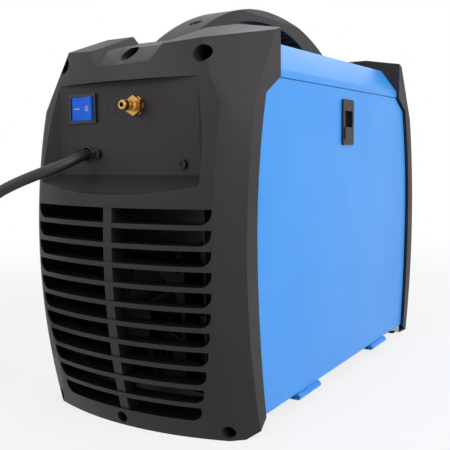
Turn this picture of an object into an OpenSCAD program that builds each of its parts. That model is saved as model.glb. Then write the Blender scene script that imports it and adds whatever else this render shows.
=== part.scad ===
// Portable wire-feed welding power source: two moulded end panels, a folded steel
// cover, a drop-down side door over the wire bay, and the works inside.
// Millimetres, +Z up, front at -Y, origin on the floor under the middle of the case.

/* [Case] */
// Width over the moulded end panels
case_w = 231; // [227:1:240]
// Length over the bulges of the end panels
case_l = 494; // [488:1:510]
// Radius of the end panels' bulge, seen from the side
face_r = 560; // [520:10:640]
// Radius of the end panels' bow, seen from above
bow_r = 290; // [270:10:330]
// Wall of the moulded panels
wall = 2.6; // [2.2:0.1:3]
// Height of the steel deck
deck_z = 334; // [330:1:337]
// Thickness of the steel sheet
sheet = 1.2; // [1:0.1:1.5]
// Height of the tray's underside above the floor
tray_z = 15.5; // [14:0.5:17]

/* [Side door] */
// Height of the seam between door and cover
seam_z = 300.5; // [298:0.5:303]
// Gap round the door
door_gap = 1.5; // [1.2:0.1:2]
// Radius of the hinge knuckles
knuckle_r = 3; // [2.8:0.1:3.1]
// Length of one hinge
hinge_len = 46; // [40:1:52]
// Distance from the middle of the door to the middle of a hinge
hinge_y = 94.5; // [85:0.5:100]
// Radius of the hinge pins
hinge_pin_r = 1.5; // [1.3:0.1:1.7]
// Width of the slide latch plate
latch_w = 28; // [26:1:32]
// Height of the slide latch plate
latch_h = 46; // [44:1:50]

/* [Rear grille] */
// Number of louvre openings
slot_n = 11; // [9:1:11]
// Distance from one louvre opening to the next
slot_pitch = 16.5; // [15.8:0.1:16.7]
// Height of one louvre opening
slot_h = 12.5; // [11:0.1:13]
// Top of the highest louvre opening
slot_top = 194; // [190:1:196]
// Depth of the louvre fins
fin_depth = 16; // [12:1:20]

/* [Rear recess] */
// Half width of the recess floor plate
recess_w = 77; // [74:1:80]
// Lower edge of the recess back plate
recess_z0 = 220; // [218:1:222]
// Upper edge of the recess back plate
recess_z1 = 299; // [296:1:302]
// Distance of the recess back plate from the crown of the bulge
recess_in = 30; // [28:1:32]

/* [Handle] */
// Width of the carrying handle
grip_w = 40; // [36:1:44]
// Height of the handle's crown
grip_z = 390; // [382:1:392]
// Radius of the handle's arch
grip_r = 290; // [280:5:310]
// Half length of the finger gap
gap_l = 106; // [100:1:110]

/* [Mains] */
// Diameter of the mains lead
lead_d = 9.5; // [9:0.5:10]
// Width of the rocker switch bezel
switch_w = 31; // [29:0.5:33]
// Height of the rocker switch bezel
switch_h = 25.5; // [24:0.5:27]

/* [Wire bay] */
// Radius of the spool hub
hub_r = 25; // [24.5:0.1:25.5]
// Radius of the drive and idler rollers
roller_r = 15; // [14:0.5:15]
// Diameter of the welding wire that the rollers grip
wire_d = 0.8; // [0.6:0.1:1.2]

/* [Front] */
// Bore radius of the output sockets
socket_r = 6.5; // [6:0.1:7]
// Radius of the control knobs
knob_r = 13; // [11:0.5:14]
// Travel of the push buttons
button_travel = 1.5; // [1:0.1:2]

/* [Hidden] */

clear = 0.3;                       // running and seating clearance
round_fn = 72;                     // segments of a plain round
half_w = case_w / 2;
end_y = case_l / 2;
face_zc = 152;                     // height of the bulge's crown
y_axis = end_y - face_r;           // axis of the bulge
band_x = half_w - 20;              // where the bowed face meets the side band
band_slope = 0.9;                  // fall of the side band per millimetre of width
door_x = half_w - 3.5;             // outer face of door and cover
door_in = door_x - sheet;          // inner face of door and cover
tray_top = tray_z + sheet;
recess_y = end_y - recess_in;      // back plate of the rear recess
lead_r = lead_d / 2;

// Edge of the end panels beside door and cover, as distance from the middle.
edge_mid = end_y - 51;
edge_zc = 165;
edge_r_high = 440;
edge_r_low = 850;
notch_z = seam_z - 14.5;           // lower end of the notch at the seam
catch_z = seam_z - 11;             // lower edge of the cover's lip behind the door
notch_y = end_y - 93;              // edge above the seam
function edge_y(z) = edge_mid - pow(z - edge_zc, 2) / (2 * (z > edge_zc ? edge_r_high : edge_r_low));
function bow(x) = bow_r - sqrt(bow_r * bow_r - x * x);
function face_y(x, z) = y_axis + sqrt(pow(face_r - bow(x), 2) - pow(z - face_zc, 2));

black = [0.13, 0.13, 0.14];
blue = [0.16, 0.50, 0.92];
steel = [0.70, 0.72, 0.74];
brass = [0.80, 0.62, 0.28];

// ---------------------------------------------------------------- shared shapes

// Everything on the inner side of a plane through p with outward normal n.
module half_space(p, n) {
  size = 900;
  translate(p)
    rotate([0, acos(n[2] / norm(n)), atan2(n[1], n[0])])
      translate([-size, -size, -2 * size]) cube(2 * size);
}

// A cylinder along X, from x0 to x1.
module rod_x(x0, x1, r, y = 0, z = 0) {
  translate([x0, y, z]) rotate([0, 90, 0]) cylinder(h = x1 - x0, r = r, $fn = round_fn);
}

// A cylinder along Y, from y0 to y1.
module rod_y(y0, y1, r, x = 0, z = 0) {
  translate([x, y0, z]) rotate([-90, 0, 0]) cylinder(h = y1 - y0, r = r, $fn = round_fn);
}

// A cylinder along Z, from z0 to z1.
module rod_z(z0, z1, r, x = 0, y = 0) {
  translate([x, y, z0]) cylinder(h = z1 - z0, r = r, $fn = round_fn);
}

// A box given by its lowest and highest corners.
module block(a, b) {
  translate(a) cube(b - a);
}

// A flat shape drawn in (y, z), given thickness along X from x0 to x1.
module plate_x(x0, x1) {
  translate([x0, 0, 0]) rotate([90, 0, 90]) linear_extrude(x1 - x0) children();
}

// A flat shape drawn in (x, z), given thickness along Y from y0 to y1.
module plate_y(y0, y1) {
  translate([0, y1, 0]) rotate([90, 0, 0]) linear_extrude(y1 - y0) children();
}

// A cross-head pan screw along +Y: the head's underside is at y, the shank runs to -Y.
module pan_screw(x, y, z, head_r = 4, shank_r = 2, shank = 12) {
  slot_w = 1;
  difference() {
    union() {
      rod_y(y, y + 2.6, head_r, x, z);
      rod_y(y - shank, y + 0.1, shank_r, x, z);
    }
    block([x - 2.4, y + 1.4, z - slot_w / 2], [x + 2.4, y + 4, z + slot_w / 2]);
    block([x - slot_w / 2, y + 1.4, z - 2.4], [x + slot_w / 2, y + 4, z + 2.4]);
  }
}

// Rings of a tube swept along a route of points, with the end rings square to the first
// and last stretch.
function unit(v) = v / norm(v);
function route_dir(p, i) =
  i == 0 ? unit(p[1] - p[0])
  : i == len(p) - 1 ? unit(p[i] - p[i - 1])
  : unit(unit(p[i + 1] - p[i]) + unit(p[i] - p[i - 1]));
function side_start(d) = unit(cross(d, abs(d[2]) < 0.9 ? [0, 0, 1] : [1, 0, 0]));
function side_list(p, i = 0, prev = undef) =
  let (d = route_dir(p, i), s = prev == undef ? side_start(d) : unit(prev - (prev * d) * d))
  i == len(p) - 1 ? [s] : concat([s], side_list(p, i + 1, s));
module tube(p, r, sides) {
  s = side_list(p);
  n = len(p);
  rings = [for (i = [0:n - 1]) let (d = route_dir(p, i), u = s[i], v = cross(d, u))
    for (k = [0:sides - 1]) p[i] + r * (cos(360 * k / sides) * u + sin(360 * k / sides) * v)];
  sides_tri = [for (i = [0:n - 2], k = [0:sides - 1])
    let (a = i * sides + k, b = i * sides + (k + 1) % sides) each
      [[a, a + sides, b], [b, a + sides, b + sides]]];
  cap_a = [for (k = [1:sides - 2]) [0, k, k + 1]];
  last = (n - 1) * sides;
  cap_b = [for (k = [1:sides - 2]) [last, last + k + 1, last + k]];
  polyhedron(rings, concat(sides_tri, cap_a, cap_b));
}

// ---------------------------------------------------------------- end panels

roof_n = [0, 0.318, 0.948];        // outward normal of the roof, which falls towards the face
roof_p = [0, end_y - 93, deck_z + 14];
hip_n = [0.159, 0.314, 0.936];     // the roof's outer part, which falls sideways too
hip_p = [half_w - 40.5, end_y - 93, deck_z + 13.7];
temple_n = [0.637, 0.669, 0.382];  // facet between face and side wall, high up
temple_p = [half_w - 9.5, end_y - 52, seam_z - 3.5];
jaw_n = [0.479, 0.861, -0.167];    // facet between face and side wall, low down
jaw_p = [half_w - 34, end_y - 26.5, 20];
heel_n = [0.80, 0.30, -0.52];      // cut under the outer end of the foot
heel_p = [half_w - 6.5, end_y - 44, 0];

// A body turned about an axis along X, with the bow of the end panels along its length.
module turned(radius, axis_y, inset, low, high) {
  lean = sqrt(1 + band_slope * band_slope);
  crest = radius - bow(band_x);
  function band_r(x) = crest - band_slope * (x - band_x) - inset * lean;
  hw = half_w - inset;
  core = 40;
  deep = radius / 2;
  translate([0, axis_y, face_zc]) rotate([0, 90, 0]) rotate([0, 0, 90 - low])
    rotate_extrude(angle = low + high, $fn = 180)
      intersection() {
        translate([radius - bow_r, 0]) circle(bow_r - inset, $fn = 180);
        polygon([[deep, -hw], [band_r(hw), -hw], [band_r(core), -core],
          [band_r(core), core], [band_r(hw), hw], [deep, hw]]);
      }
}

// The outer form of an end panel, or its inside when inset is the wall.
module end_form(inset) {
  reach = 400;
  intersection() {
    turned(face_r, y_axis, inset, 28, 28);
    for_corner(inset);
    mirror([1, 0, 0]) for_corner(inset);
    block([-half_w + inset, 0, inset], [half_w - inset, reach, reach]);
  }
}

// The sloping roof, and the facets at one pair of corners.
module for_corner(inset) {
  intersection() {
    half_space(roof_p - inset * roof_n, roof_n);
    half_space(hip_p - inset * hip_n, hip_n);
    half_space(temple_p - inset * temple_n, temple_n);
    half_space(jaw_p - inset * jaw_n, jaw_n);
    half_space(heel_p - inset * heel_n, heel_n);
  }
}

// Outline of everything in front of the panel's edge, grown by reach towards the panel.
edge_steps = 12;
foot_run = 17;                     // run of the sloping edge below the door
module edge_area(grow = 0, top = 420) {
  span = notch_z - tray_z;
  polygon(concat(
    [[-20, -20], [edge_y(tray_z) + foot_run + grow + 5, -20]],
    [[edge_y(tray_z) + foot_run + grow, 0]],
    [for (i = [0:edge_steps]) let (z = tray_z + span * i / edge_steps) [edge_y(z) + grow, z]],
    [[notch_y + grow, seam_z + grow * 0.4], [notch_y + grow, top], [-20, top]]));
}

// Cross-section of the folded cover's outside, grown by a gap, drawn in (x, z).
chamfer_x = 19;                    // inward run of the cover's sloping shoulder
chamfer_z = 26;                    // height of the cover's sloping shoulder
module cover_section(grow = 0) {
  x = door_x + grow;
  z = deck_z + grow;
  polygon([[-x, -10], [x, -10], [x, z - chamfer_z], [x - chamfer_x, z],
    [-x + chamfer_x, z], [-x, z - chamfer_z]]);
}

// Shell, rim and door jamb that front and rear panel share.
module panel_blank() {
  difference() {
    end_form(0);
    difference() {
      end_form(wall);
      saddle_cut(wall);
    }
    saddle_cut();
    plate_x(-half_w - 1, half_w + 1) edge_area();
  }
  intersection() {
    end_form(0);
    difference() {
      block([-half_w, notch_y, seam_z], [half_w, notch_y + wall, 400]);
      plate_y(0, 300) cover_section(0.4);
    }
  }
  door_jamb();
}

// Return behind the door's edge, joined to the panel's side wall.
jamb_x = door_in - 0.5;
module door_jamb() {
  top = seam_z - 14;
  bottom = tray_z + 30;
  intersection() {
    union() {
      plate_x(-jamb_x, -jamb_x + 2) difference() {
        edge_area(4);
        edge_area(-9);
      }
      plate_x(-half_w + 1, -jamb_x + 2) difference() {
        edge_area(4);
        edge_area(0.8);
      }
    }
    block([-half_w, 0, bottom], [0, 300, top]);
  }
}

// Screw towers of an end panel: [x, z, seat].
tower_r = 9.5;
function well_r(t) = t[1] == low_z ? 5.2 : 7;
seat_low = 0.8;                    // from tray flange to tower
tray_end = end_y - 59;             // outer face of the tray's end flange
deck_end = end_y - 85;             // outer face of the cover's end flange
high_x = half_w - 40.5;
high_z = 317;
low_x = half_w - 20.5;
low_z = 8;
towers = [
  [-high_x, high_z, deck_end], [high_x, high_z, deck_end], [1, high_z + 6, deck_end],
  [-low_x, low_z, tray_end], [4, low_z, tray_end], [low_x, low_z, tray_end]
];
tower_floor = 3;

module towers_solid() {
  intersection() {
    end_form(0);
    for (t = towers) rod_y(t[2] + clear, 400, tower_r, t[0], t[1]);
  }
}

module tower_wells() {
  for (t = towers) {
    rod_y(t[2] + clear + tower_floor, 400, well_r(t), t[0], t[1]);
    rod_y(t[2] - 5, t[2] + 20, 2.2, t[0], t[1]);
  }
}

module tower_screws() {
  for (t = towers) pan_screw(t[0], t[2] + clear + tower_floor, t[1]);
}

// Dip in the roof and brow between the two shoulders, where the handle lands: a roof part
// and a brow part, each a wedge of three planes that opens upwards.
saddle_w = 35;
saddle_drop = 8;
saddle_z = deck_z + 15 - saddle_drop;
saddle_flare = 9;
brow = [notch_y + 47, saddle_z - 12];
brow_end = [notch_y + 72, saddle_z - 30.5];
brow_w = saddle_w - 6;
module above(a, b, c, grow) {
  n = unit(cross(b - a, c - a));
  s = n[2] > 0 ? 1 : -1;
  half_space(a - s * grow * n, -s * n);
}

module dip(near, far, w0, w1, grow) {
  a = [w0, near[0], near[1]];
  b = [w1, far[0], far[1]];
  intersection() {
    above(a, b, [0, near[0], near[1]], grow);
    above(a, b, a + [saddle_flare, 0, 10], grow);
    mirror([1, 0, 0]) above(a, b, a + [saddle_flare, 0, 10], grow);
    block([-half_w, 100, 200], [half_w, 400, 450]);
  }
}

module saddle_cut(grow = 0) {
  dip([notch_y, saddle_z], brow, saddle_w, saddle_w, grow);
  dip(brow, brow_end, saddle_w, brow_w, grow);
}

// ---------------------------------------------------------------- rear panel

function slot_z(i) = slot_top - i * slot_pitch;
function slot_x(z) = band_x - 1.5 - 0.00116 * pow(max(0, face_zc - z), 2);
slot_round = 9;
module slot_outline(z) {
  x = slot_x(z);
  zb = z - slot_h;
  arc = [for (a = [0:15:75]) [x - slot_round + slot_round * cos(a) - 1.2 * (a / 90),
    zb + slot_round - slot_round * sin(a)]];
  polygon(concat([[-x, z], [x, z]], arc, [[x - slot_round - 1.2, zb], [-x + slot_round + 1.2, zb]],
    [for (i = [len(arc) - 1:-1:0]) [-arc[i][0], arc[i][1]]]));
}

module grille_block() {
  z0 = slot_z(slot_n - 1) - slot_h - 3;
  intersection() {
    difference() {
      end_form(0);
      end_form(fin_depth);
    }
    plate_y(edge_mid - 1, 300)
      polygon([[-slot_x(z0) - 3, z0], [slot_x(z0) + 3, z0], [slot_x(face_zc) + 3, face_zc],
        [slot_x(face_zc) + 3, slot_top + 3], [-slot_x(face_zc) - 3, slot_top + 3],
        [-slot_x(face_zc) - 3, face_zc]]);
  }
}

strut_w = 9;
strut_in = 1.2;
module grille_slots() {
  difference() {
    for (i = [0:slot_n - 1]) plate_y(150, 300) slot_outline(slot_z(i));
    intersection() {
      end_form(strut_in);
      block([-strut_w / 2, 100, 0], [strut_w / 2, 300, 300]);
    }
  }
}

// Points of a corner arc from angle a0 to a1 about [x, z].
function corner(x, z, r, a0, a1) = [for (i = [0:5]) let (a = a0 + (a1 - a0) * i / 5) [x + r * cos(a), z + r * sin(a)]];
lip_z = recess_z0 - 18;            // lower lip of the recess on the panel's face
rim_low_r = 11;
rim_high_r = 7;
rim_left = [recess_w + 22, recess_z1];
rim_right = [-recess_w - 7, recess_z1];
module recess_space(inset) {
  far = 60;
  slope = 17 / 30;
  x0 = rim_right[0] - inset;
  x1 = rim_left[0] + inset;
  z1 = recess_z1 + inset;
  lz = lip_z - inset;
  intersection() {
    plate_x(-half_w, half_w)
      polygon([[recess_y - inset, recess_z0 - inset], [recess_y + far, recess_z0 - inset - far * slope],
        [recess_y + far, z1 + 3], [recess_y - inset, z1]]);
    translate([0, 0, -5])
      linear_extrude(400)
        polygon([[-recess_w - inset + 2, recess_y - inset], [recess_w + inset, recess_y - inset],
          [x1, recess_y + 18], [x1, recess_y + far], [x0, recess_y + far], [x0, recess_y + 9]]);
    plate_y(recess_y - 10, recess_y + far)
      polygon(concat(corner(x1 - rim_high_r, z1 - rim_high_r, rim_high_r, 0, 90),
        corner(x0 + rim_high_r, z1 - rim_high_r, rim_high_r, 90, 180),
        corner(x0 + rim_low_r, lz + 5 + rim_low_r, rim_low_r, 180, 270), [[x0 + 40, lz], [x1 - 40, lz]],
        corner(x1 - rim_low_r, lz + 5 + rim_low_r, rim_low_r, 270, 360)));
  }
}

switch_x = 48.3;
switch_z = 278;
gas_x = -12;
gas_z = 278;
lead_x = 46;
lead_z = 238;
plate_screw_x = -58.8;
plate_screw_z = 229;
module rear_panel() {
  color(black) difference() {
    union() {
      panel_blank();
      intersection() {
        end_form(0);
        recess_space(wall);
      }
      grille_block();
      towers_solid();
    }
    recess_space(0);
    saddle_cut();
    grille_slots();
    tower_wells();
    block([switch_x - switch_body_w / 2 - 0.2, recess_y - 10, switch_z - switch_body_h / 2 - 0.2],
      [switch_x + switch_body_w / 2 + 0.2, recess_y + 10, switch_z + switch_body_h / 2 + 0.2]);
    rod_y(recess_y - 10, recess_y + 10, gas_thread_r + 0.3, gas_x, gas_z);
    rod_y(recess_y - 10, recess_y + 10, grommet_r + 0.1, lead_x, lead_z);
    for (s = [-1, 1]) rod_y(recess_y - 10, recess_y + 10, 2.2, lead_x + s * clamp_pitch / 2, lead_z);
    rod_y(recess_y - 10, recess_y + 10, 2.2, plate_screw_x, plate_screw_z);
    difference() {
      rod_y(recess_y - 0.6, recess_y + 10, 5.5, 15.7, switch_z - 1.5);
      rod_y(recess_y - 1, recess_y + 11, 4.9, 15.7, switch_z - 1.5);
    }
    for (s = [-1, 1]) difference() {
      rod_y(recess_y - 0.5, recess_y + 5, 6.4, lead_x + s * clamp_pitch / 2, lead_z);
      rod_y(recess_y - 1, recess_y + 6, 5.7, lead_x + s * clamp_pitch / 2, lead_z);
    }
  }
}

module rear_panel_screws() {
  color(steel) {
    tower_screws();
    pan_screw(plate_screw_x, recess_y, plate_screw_z, shank = 8);
  }
}

// ---------------------------------------------------------------- front panel

torch_x = -74;
wire_z = 115;
socket_z = 58;
socket_xs = [24, 82];
front_plate = end_y - 24;          // flat that carries the output sockets
torch_plate = end_y - 34;
vent_n = 5;
vent_w = 86;
vent_x = 46;

module front_pockets(inset) {
  recess_space(inset);
  plate_y(front_plate - inset, end_y + 5)
    polygon([[-8 - inset, 26 - inset], [104 + inset, 26 - inset], [104 + inset, 90 + inset],
      [-8 - inset, 90 + inset]]);
  rod_y(torch_plate - inset, end_y + 5, 27 + inset, torch_x, wire_z);
}

module front_shape() {
  difference() {
    union() {
      panel_blank();
      intersection() {
        end_form(0);
        front_pockets(wall);
      }
      towers_solid();
      vent_block();
    }
    front_pockets(0);
    saddle_cut();
    tower_wells();
    for (x = socket_xs) rod_y(front_plate - 8, front_plate + 5, socket_body_r + 0.1, x, socket_z);
    rod_y(torch_plate - 8, torch_plate + 5, torch_thread_r + 0.1, torch_x, wire_z);
    for (i = [0:vent_n - 1]) vent_slot(i);
    block([-60, recess_y - 10, recess_z0 + 12], [60, recess_y + 10, recess_z1 - 8]);
    for (x = [-1, 1], z = [recess_z0 + 6, recess_z1 - 5])
      rod_y(recess_y - 10, recess_y + 10, 1.7, x * (recess_w - 8), z);
  }
}

vent_pitch = 17;
vent_z = 176;
module vent_slot(i) {
  z = vent_z - i * vent_pitch;
  plate_y(150, 300)
    polygon([[vent_x - vent_w / 2, z], [vent_x + vent_w / 2, z], [vent_x + vent_w / 2 - 4, z - 10],
      [vent_x - vent_w / 2 + 4, z - 10]]);
}

module vent_block() {
  z0 = vent_z - (vent_n - 1) * vent_pitch - 13;
  intersection() {
    difference() {
      end_form(0);
      end_form(fin_depth - 4);
    }
    block([vent_x - vent_w / 2 - 3, 100, z0], [vent_x + vent_w / 2 + 3, 300, vent_z + 3]);
  }
}

module front_panel() {
  color(black) mirror([0, 1, 0]) front_shape();
}

module front_panel_screws() {
  color(steel) mirror([0, 1, 0]) {
    tower_screws();
    for (x = [-1, 1], z = [recess_z0 + 6, recess_z1 - 5])
      pan_screw(x * (recess_w - 8), recess_y + fascia_t, z, head_r = 2.8, shank_r = 1.5, shank = 8);
  }
}

// ---------------------------------------------------------------- folded steel

flange_h = 25;
module base_tray() {
  x = door_in - 0.6;
  color([0.30, 0.31, 0.33]) difference() {
    union() {
      block([-x, -tray_end + sheet, tray_z], [x, tray_end - sheet, tray_top]);
      for (s = [-1, 1]) block([s * x - (s > 0 ? sheet : 0), -tray_end + sheet, tray_z],
        [s * x + (s > 0 ? 0 : sheet), tray_end - sheet, tray_z + flange_h]);
      for (s = [-1, 1]) block([-x + 2, s * tray_end - (s > 0 ? sheet : 0), 4],
        [x - 2, s * tray_end + (s > 0 ? 0 : sheet), tray_z + 12]);
    }
    for (t = towers, s = [-1, 1]) if (t[1] == low_z)
      rod_y(s * tray_end - 6, s * tray_end + 6, 2.3, t[0], t[1]);
  }
}

divider_x = -40;
module divider_panel() {
  top = deck_z - sheet - clear;
  color([0.62, 0.64, 0.66]) difference() {
    union() {
      block([divider_x, -divider_end, tray_top], [divider_x + sheet, divider_end, top]);
      block([divider_x, -divider_end, tray_top], [divider_x + 12, divider_end, tray_top + sheet]);
      block([divider_x, -divider_end, top - sheet], [divider_x + 12, divider_end, top]);
    }
    rod_x(divider_x - 5, divider_x + 5, motor_neck_r + 0.5, drive_y, drive_z);
    rod_x(divider_x - 5, divider_x + 5, spindle_r + 0.15, hub_y, hub_z);
    for (s = [-1, 1]) rod_x(divider_x - 5, divider_x + 5, 6, hose_pass[1] + s * 10, hose_pass[2]);
    block([divider_x - 5, hose_pass[1] - 10, hose_pass[2] - 6],
      [divider_x + 5, hose_pass[1] + 10, hose_pass[2] + 6]);
  }
}
divider_end = deck_end - sheet - 1;

module cover() {
  top_end = deck_end - sheet;
  side_end = edge_mid + 4.5;
  lip = 14;
  color(blue) difference() {
    union() {
      intersection() {
        plate_y(-side_end, side_end) difference() {
          cover_section();
          cover_section(-sheet);
          translate([-door_x - 1, -20]) square([sheet + 4, seam_z + 0.5 + 20]);
          translate([-door_x + sheet, -20]) square([2 * door_x - 2 * sheet, 60]);
          translate([-200, -20]) square([400, tray_top + 20]);
        }
        plate_x(-half_w, half_w) for (s = [0, 1]) mirror([s, 0]) intersection() {
          edge_area(4.5);
          union() {
            square([side_end, notch_z]);
            square([top_end, 400]);
          }
        }
      }
      for (s = [-1, 1]) block([-door_x + chamfer_x + 2, s * deck_end - (s > 0 ? sheet : 0), high_z - 14],
        [door_x - chamfer_x - 2, s * deck_end + (s > 0 ? 0 : sheet), deck_z - sheet / 2]);
      block([-door_in, -notch_y + 3, catch_z], [-door_in + sheet, notch_y - 3, seam_z + 5]);
    }
    for (t = towers, s = [-1, 1]) if (t[1] != low_z)
      rod_y(s * deck_end - 6, s * deck_end + 6, 2.3, t[0], t[1]);
    for (s = [-1, 1]) rod_z(deck_z - 5, deck_z + 5, 2.3, 0, s * grip_screw_y);
  }
}

// ---------------------------------------------------------------- side door

hinge_x = -door_x - 0.4;
hinge_z = tray_z - 3.5;
latch_y = 2;
latch_z = seam_z - 33.5;
latch_hole = [latch_w - 3, latch_h - 6];
module side_door() {
  top = seam_z - 0.5;
  span = notch_z - tray_z;
  g = door_gap;
  half = concat(
    [for (i = [0:edge_steps]) let (z = tray_z + span * i / edge_steps) [edge_y(z) - g, z - (i == edge_steps ? g * 0.4 : 0)]],
    [[notch_y - g, seam_z - g * 0.6], [notch_y - g, top]]);
  other = [for (i = [len(half) - 1:-1:0]) [-half[i][0], half[i][1]]];
  color(blue) difference() {
    plate_x(-door_x, -door_in) polygon(concat(half, other));
    block([-door_x - 1, latch_y - latch_hole[0] / 2, latch_z - latch_hole[1] / 2],
      [-door_in + 1, latch_y + latch_hole[0] / 2, latch_z + latch_hole[1] / 2]);
  }
}

// Knuckle lengths: the chassis carries the rear one of each pair.
knuckle_short = 18;
knuckle_gap = 0.5;
pin_run = 0.05;                    // radial clearance of the hinge pins
module knuckle(y0, y1) {
  difference() {
    children();
    rod_y(y0 - 1, y1 + 1, hinge_pin_r + pin_run, hinge_x, hinge_z);
  }
}

module door_knuckles() {
  color(blue) for (s = [-1, 1]) {
    y0 = s * hinge_y - hinge_len / 2;
    y1 = s * hinge_y + hinge_len / 2 - knuckle_short - knuckle_gap;
    knuckle(y0, y1) {
      rod_y(y0, y1, knuckle_r, hinge_x, hinge_z);
      block([-door_x, y0, hinge_z + 1.5], [-door_in, y1, tray_z]);
    }
  }
}

module hinge_brackets() {
  foot_x = hinge_x + 16;
  color(blue) for (s = [-1, 1]) {
    y0 = s * hinge_y + hinge_len / 2 - knuckle_short;
    y1 = s * hinge_y + hinge_len / 2;
    knuckle(y0, y1) {
      rod_y(y0, y1, knuckle_r, hinge_x, hinge_z);
      block([hinge_x, y0, hinge_z - knuckle_r], [foot_x, y1, hinge_z - knuckle_r + 1.4]);
      block([foot_x - 1.4, y0, hinge_z - knuckle_r], [foot_x, y1, tray_z]);
    }
  }
}

module hinge_pins() {
  color(steel) for (s = [-1, 1])
    rod_y(s * hinge_y - hinge_len / 2, s * hinge_y + hinge_len / 2, hinge_pin_r, hinge_x, hinge_z);
}

// The latch's window and the finger slider that runs in it: a tab in front of the plate, a
// web through the window and a carrier with the tongue behind it.
latch_travel = 7;
latch_face = door_x + 2.4;
latch_round = 3;
window_w = latch_w - 8;
window_top = latch_z + latch_h / 2 - 11.5;
window_low = latch_z - latch_h / 2 + 6.5;
module latch_plate() {
  y0 = latch_y - latch_w / 2;
  y1 = latch_y + latch_w / 2;
  z0 = latch_z - latch_h / 2;
  z1 = latch_z + latch_h / 2;
  color(black) difference() {
    union() {
      block([-latch_face, y0 + latch_round, z0], [-door_x, y1 - latch_round, z1]);
      block([-latch_face, y0, z0 + latch_round], [-door_x, y1, z1 - latch_round]);
      for (y = [y0 + latch_round, y1 - latch_round], z = [z0 + latch_round, z1 - latch_round])
        rod_x(-latch_face, -door_x, latch_round, y, z);
      block([-door_x, latch_y - latch_hole[0] / 2 + 0.2, latch_z - latch_hole[1] / 2 + 0.2],
        [-door_in + 1.6, latch_y + latch_hole[0] / 2 - 0.2, latch_z + latch_hole[1] / 2 - 0.2]);
    }
    block([-half_w - 5, latch_y - window_w / 2, window_low],
      [-door_in + 5, latch_y + window_w / 2, window_top]);
  }
}

tab_h = window_top - window_low - 16.5;
tab_notch = 6.5;
module latch_slider() {
  face = latch_face + clear;
  back = -door_in + 2;
  tab_z0 = window_low - 1;
  tab_z1 = window_low + tab_h;
  web_z0 = window_low + latch_travel + 0.3;
  color([0.06, 0.06, 0.07]) union() {
    difference() {
      block([-half_w, latch_y - window_w / 2 - 1, tab_z0], [-face, latch_y + window_w / 2 + 1, tab_z1]);
      rod_x(-half_w - 5, -face + 5, tab_notch, latch_y - window_w / 2, tab_z1 + 1);
    }
    block([-face - 0.1, latch_y - window_w / 2 + clear, web_z0],
      [back + 0.1, latch_y + window_w / 2 - tab_notch - 1, tab_z1]);
    block([back, latch_y - window_w / 2 - 2, window_low - 1],
      [back + 2, latch_y + window_w / 2 + 2, window_top + latch_travel + 1]);
    block([back, latch_y - 6, window_top], [back + 2, latch_y + 6, catch_z - clear]);
  }
}

// ---------------------------------------------------------------- handle

grip_screw_y = 110;
grip_end = notch_y + 24;
grip_wall = 3;
rib_pitch = 12;
grip_lead = 12;                    // the arch crowns this far in front of the middle
function grip_top(y) = grip_z - grip_r + sqrt(grip_r * grip_r - pow(y + grip_lead, 2));
function gap_top(y) = deck_z + (grip_z - 14 - deck_z) * sqrt(max(0, 1 - pow(y / gap_l, 2)));

module arch_section(drop, low) {
  n = 40;
  polygon(concat([[-grip_end, low], [grip_end, low]],
    [for (i = [0:n]) let (y = grip_end - 2 * grip_end * i / n) [y, grip_top(y) - drop]]));
}

module saddle_under() {
  y0 = notch_y - 0.5;
  y1 = brow[0];
  z0 = saddle_z + clear;
  z1 = brow[1] + clear;
  deck = deck_z + clear;
  polygon([[-300, 0], [300, 0], [300, z1 - 60], [y1, z1], [y0, z0], [y0, deck],
    [-y0, deck], [-y0, z0], [-y1, z1], [-300, z1 - 60]]);
}

module handle() {
  n = 36;
  hw = grip_w / 2;
  cells = floor((gap_l - 6) / rib_pitch);
  color(black) difference() {
    intersection() {
      plate_x(-hw, hw) difference() {
        arch_section(0, 300);
        saddle_under();
        polygon(concat([for (i = [0:n]) let (y = gap_l * cos(180 * i / n)) [y, gap_top(y)]],
          [[-gap_l, 300], [gap_l, 300]]));
      }
      grip_sides();
    }
    intersection() {
      plate_x(-hw, hw) arch_section(4, 300);
      for (i = [-cells:cells - 1], s = [-1, 1]) {
        y = (i + 0.5) * rib_pitch;
        block([s > 0 ? 1 : -hw + grip_wall, y - rib_pitch / 2 + 1, gap_top(abs(y) + rib_pitch / 2) - 3],
          [s > 0 ? hw - grip_wall : -1, y + rib_pitch / 2 - 1, 400]);
      }
    }
    for (s = [-1, 1]) {
      rod_z(grip_top(s * grip_screw_y) - 9, 400, 6.5, 0, s * grip_screw_y);
      rod_z(300, 400, 2.2, 0, s * grip_screw_y);
    }
  }
}

// Side walls of the handle lean in a little towards the top.
module grip_sides() {
  hw = grip_w / 2;
  plate_y(-200, 200)
    polygon([[-hw, 300], [hw, 300], [hw, grip_z - 45], [hw - 1.5, grip_z - 8], [hw - 5, grip_z + 1],
      [-hw + 5, grip_z + 1], [-hw + 1.5, grip_z - 8], [-hw, grip_z - 45]]);
}

module handle_screws() {
  color(steel) for (s = [-1, 1]) let (seat = grip_top(s * grip_screw_y) - 9)
    translate([0, s * grip_screw_y, seat]) rotate([90, 0, 0])
      pan_screw(0, 0, 0, head_r = 5, shank = seat - deck_z + 8);
}

// ---------------------------------------------------------------- mains and gas inlet

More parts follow.
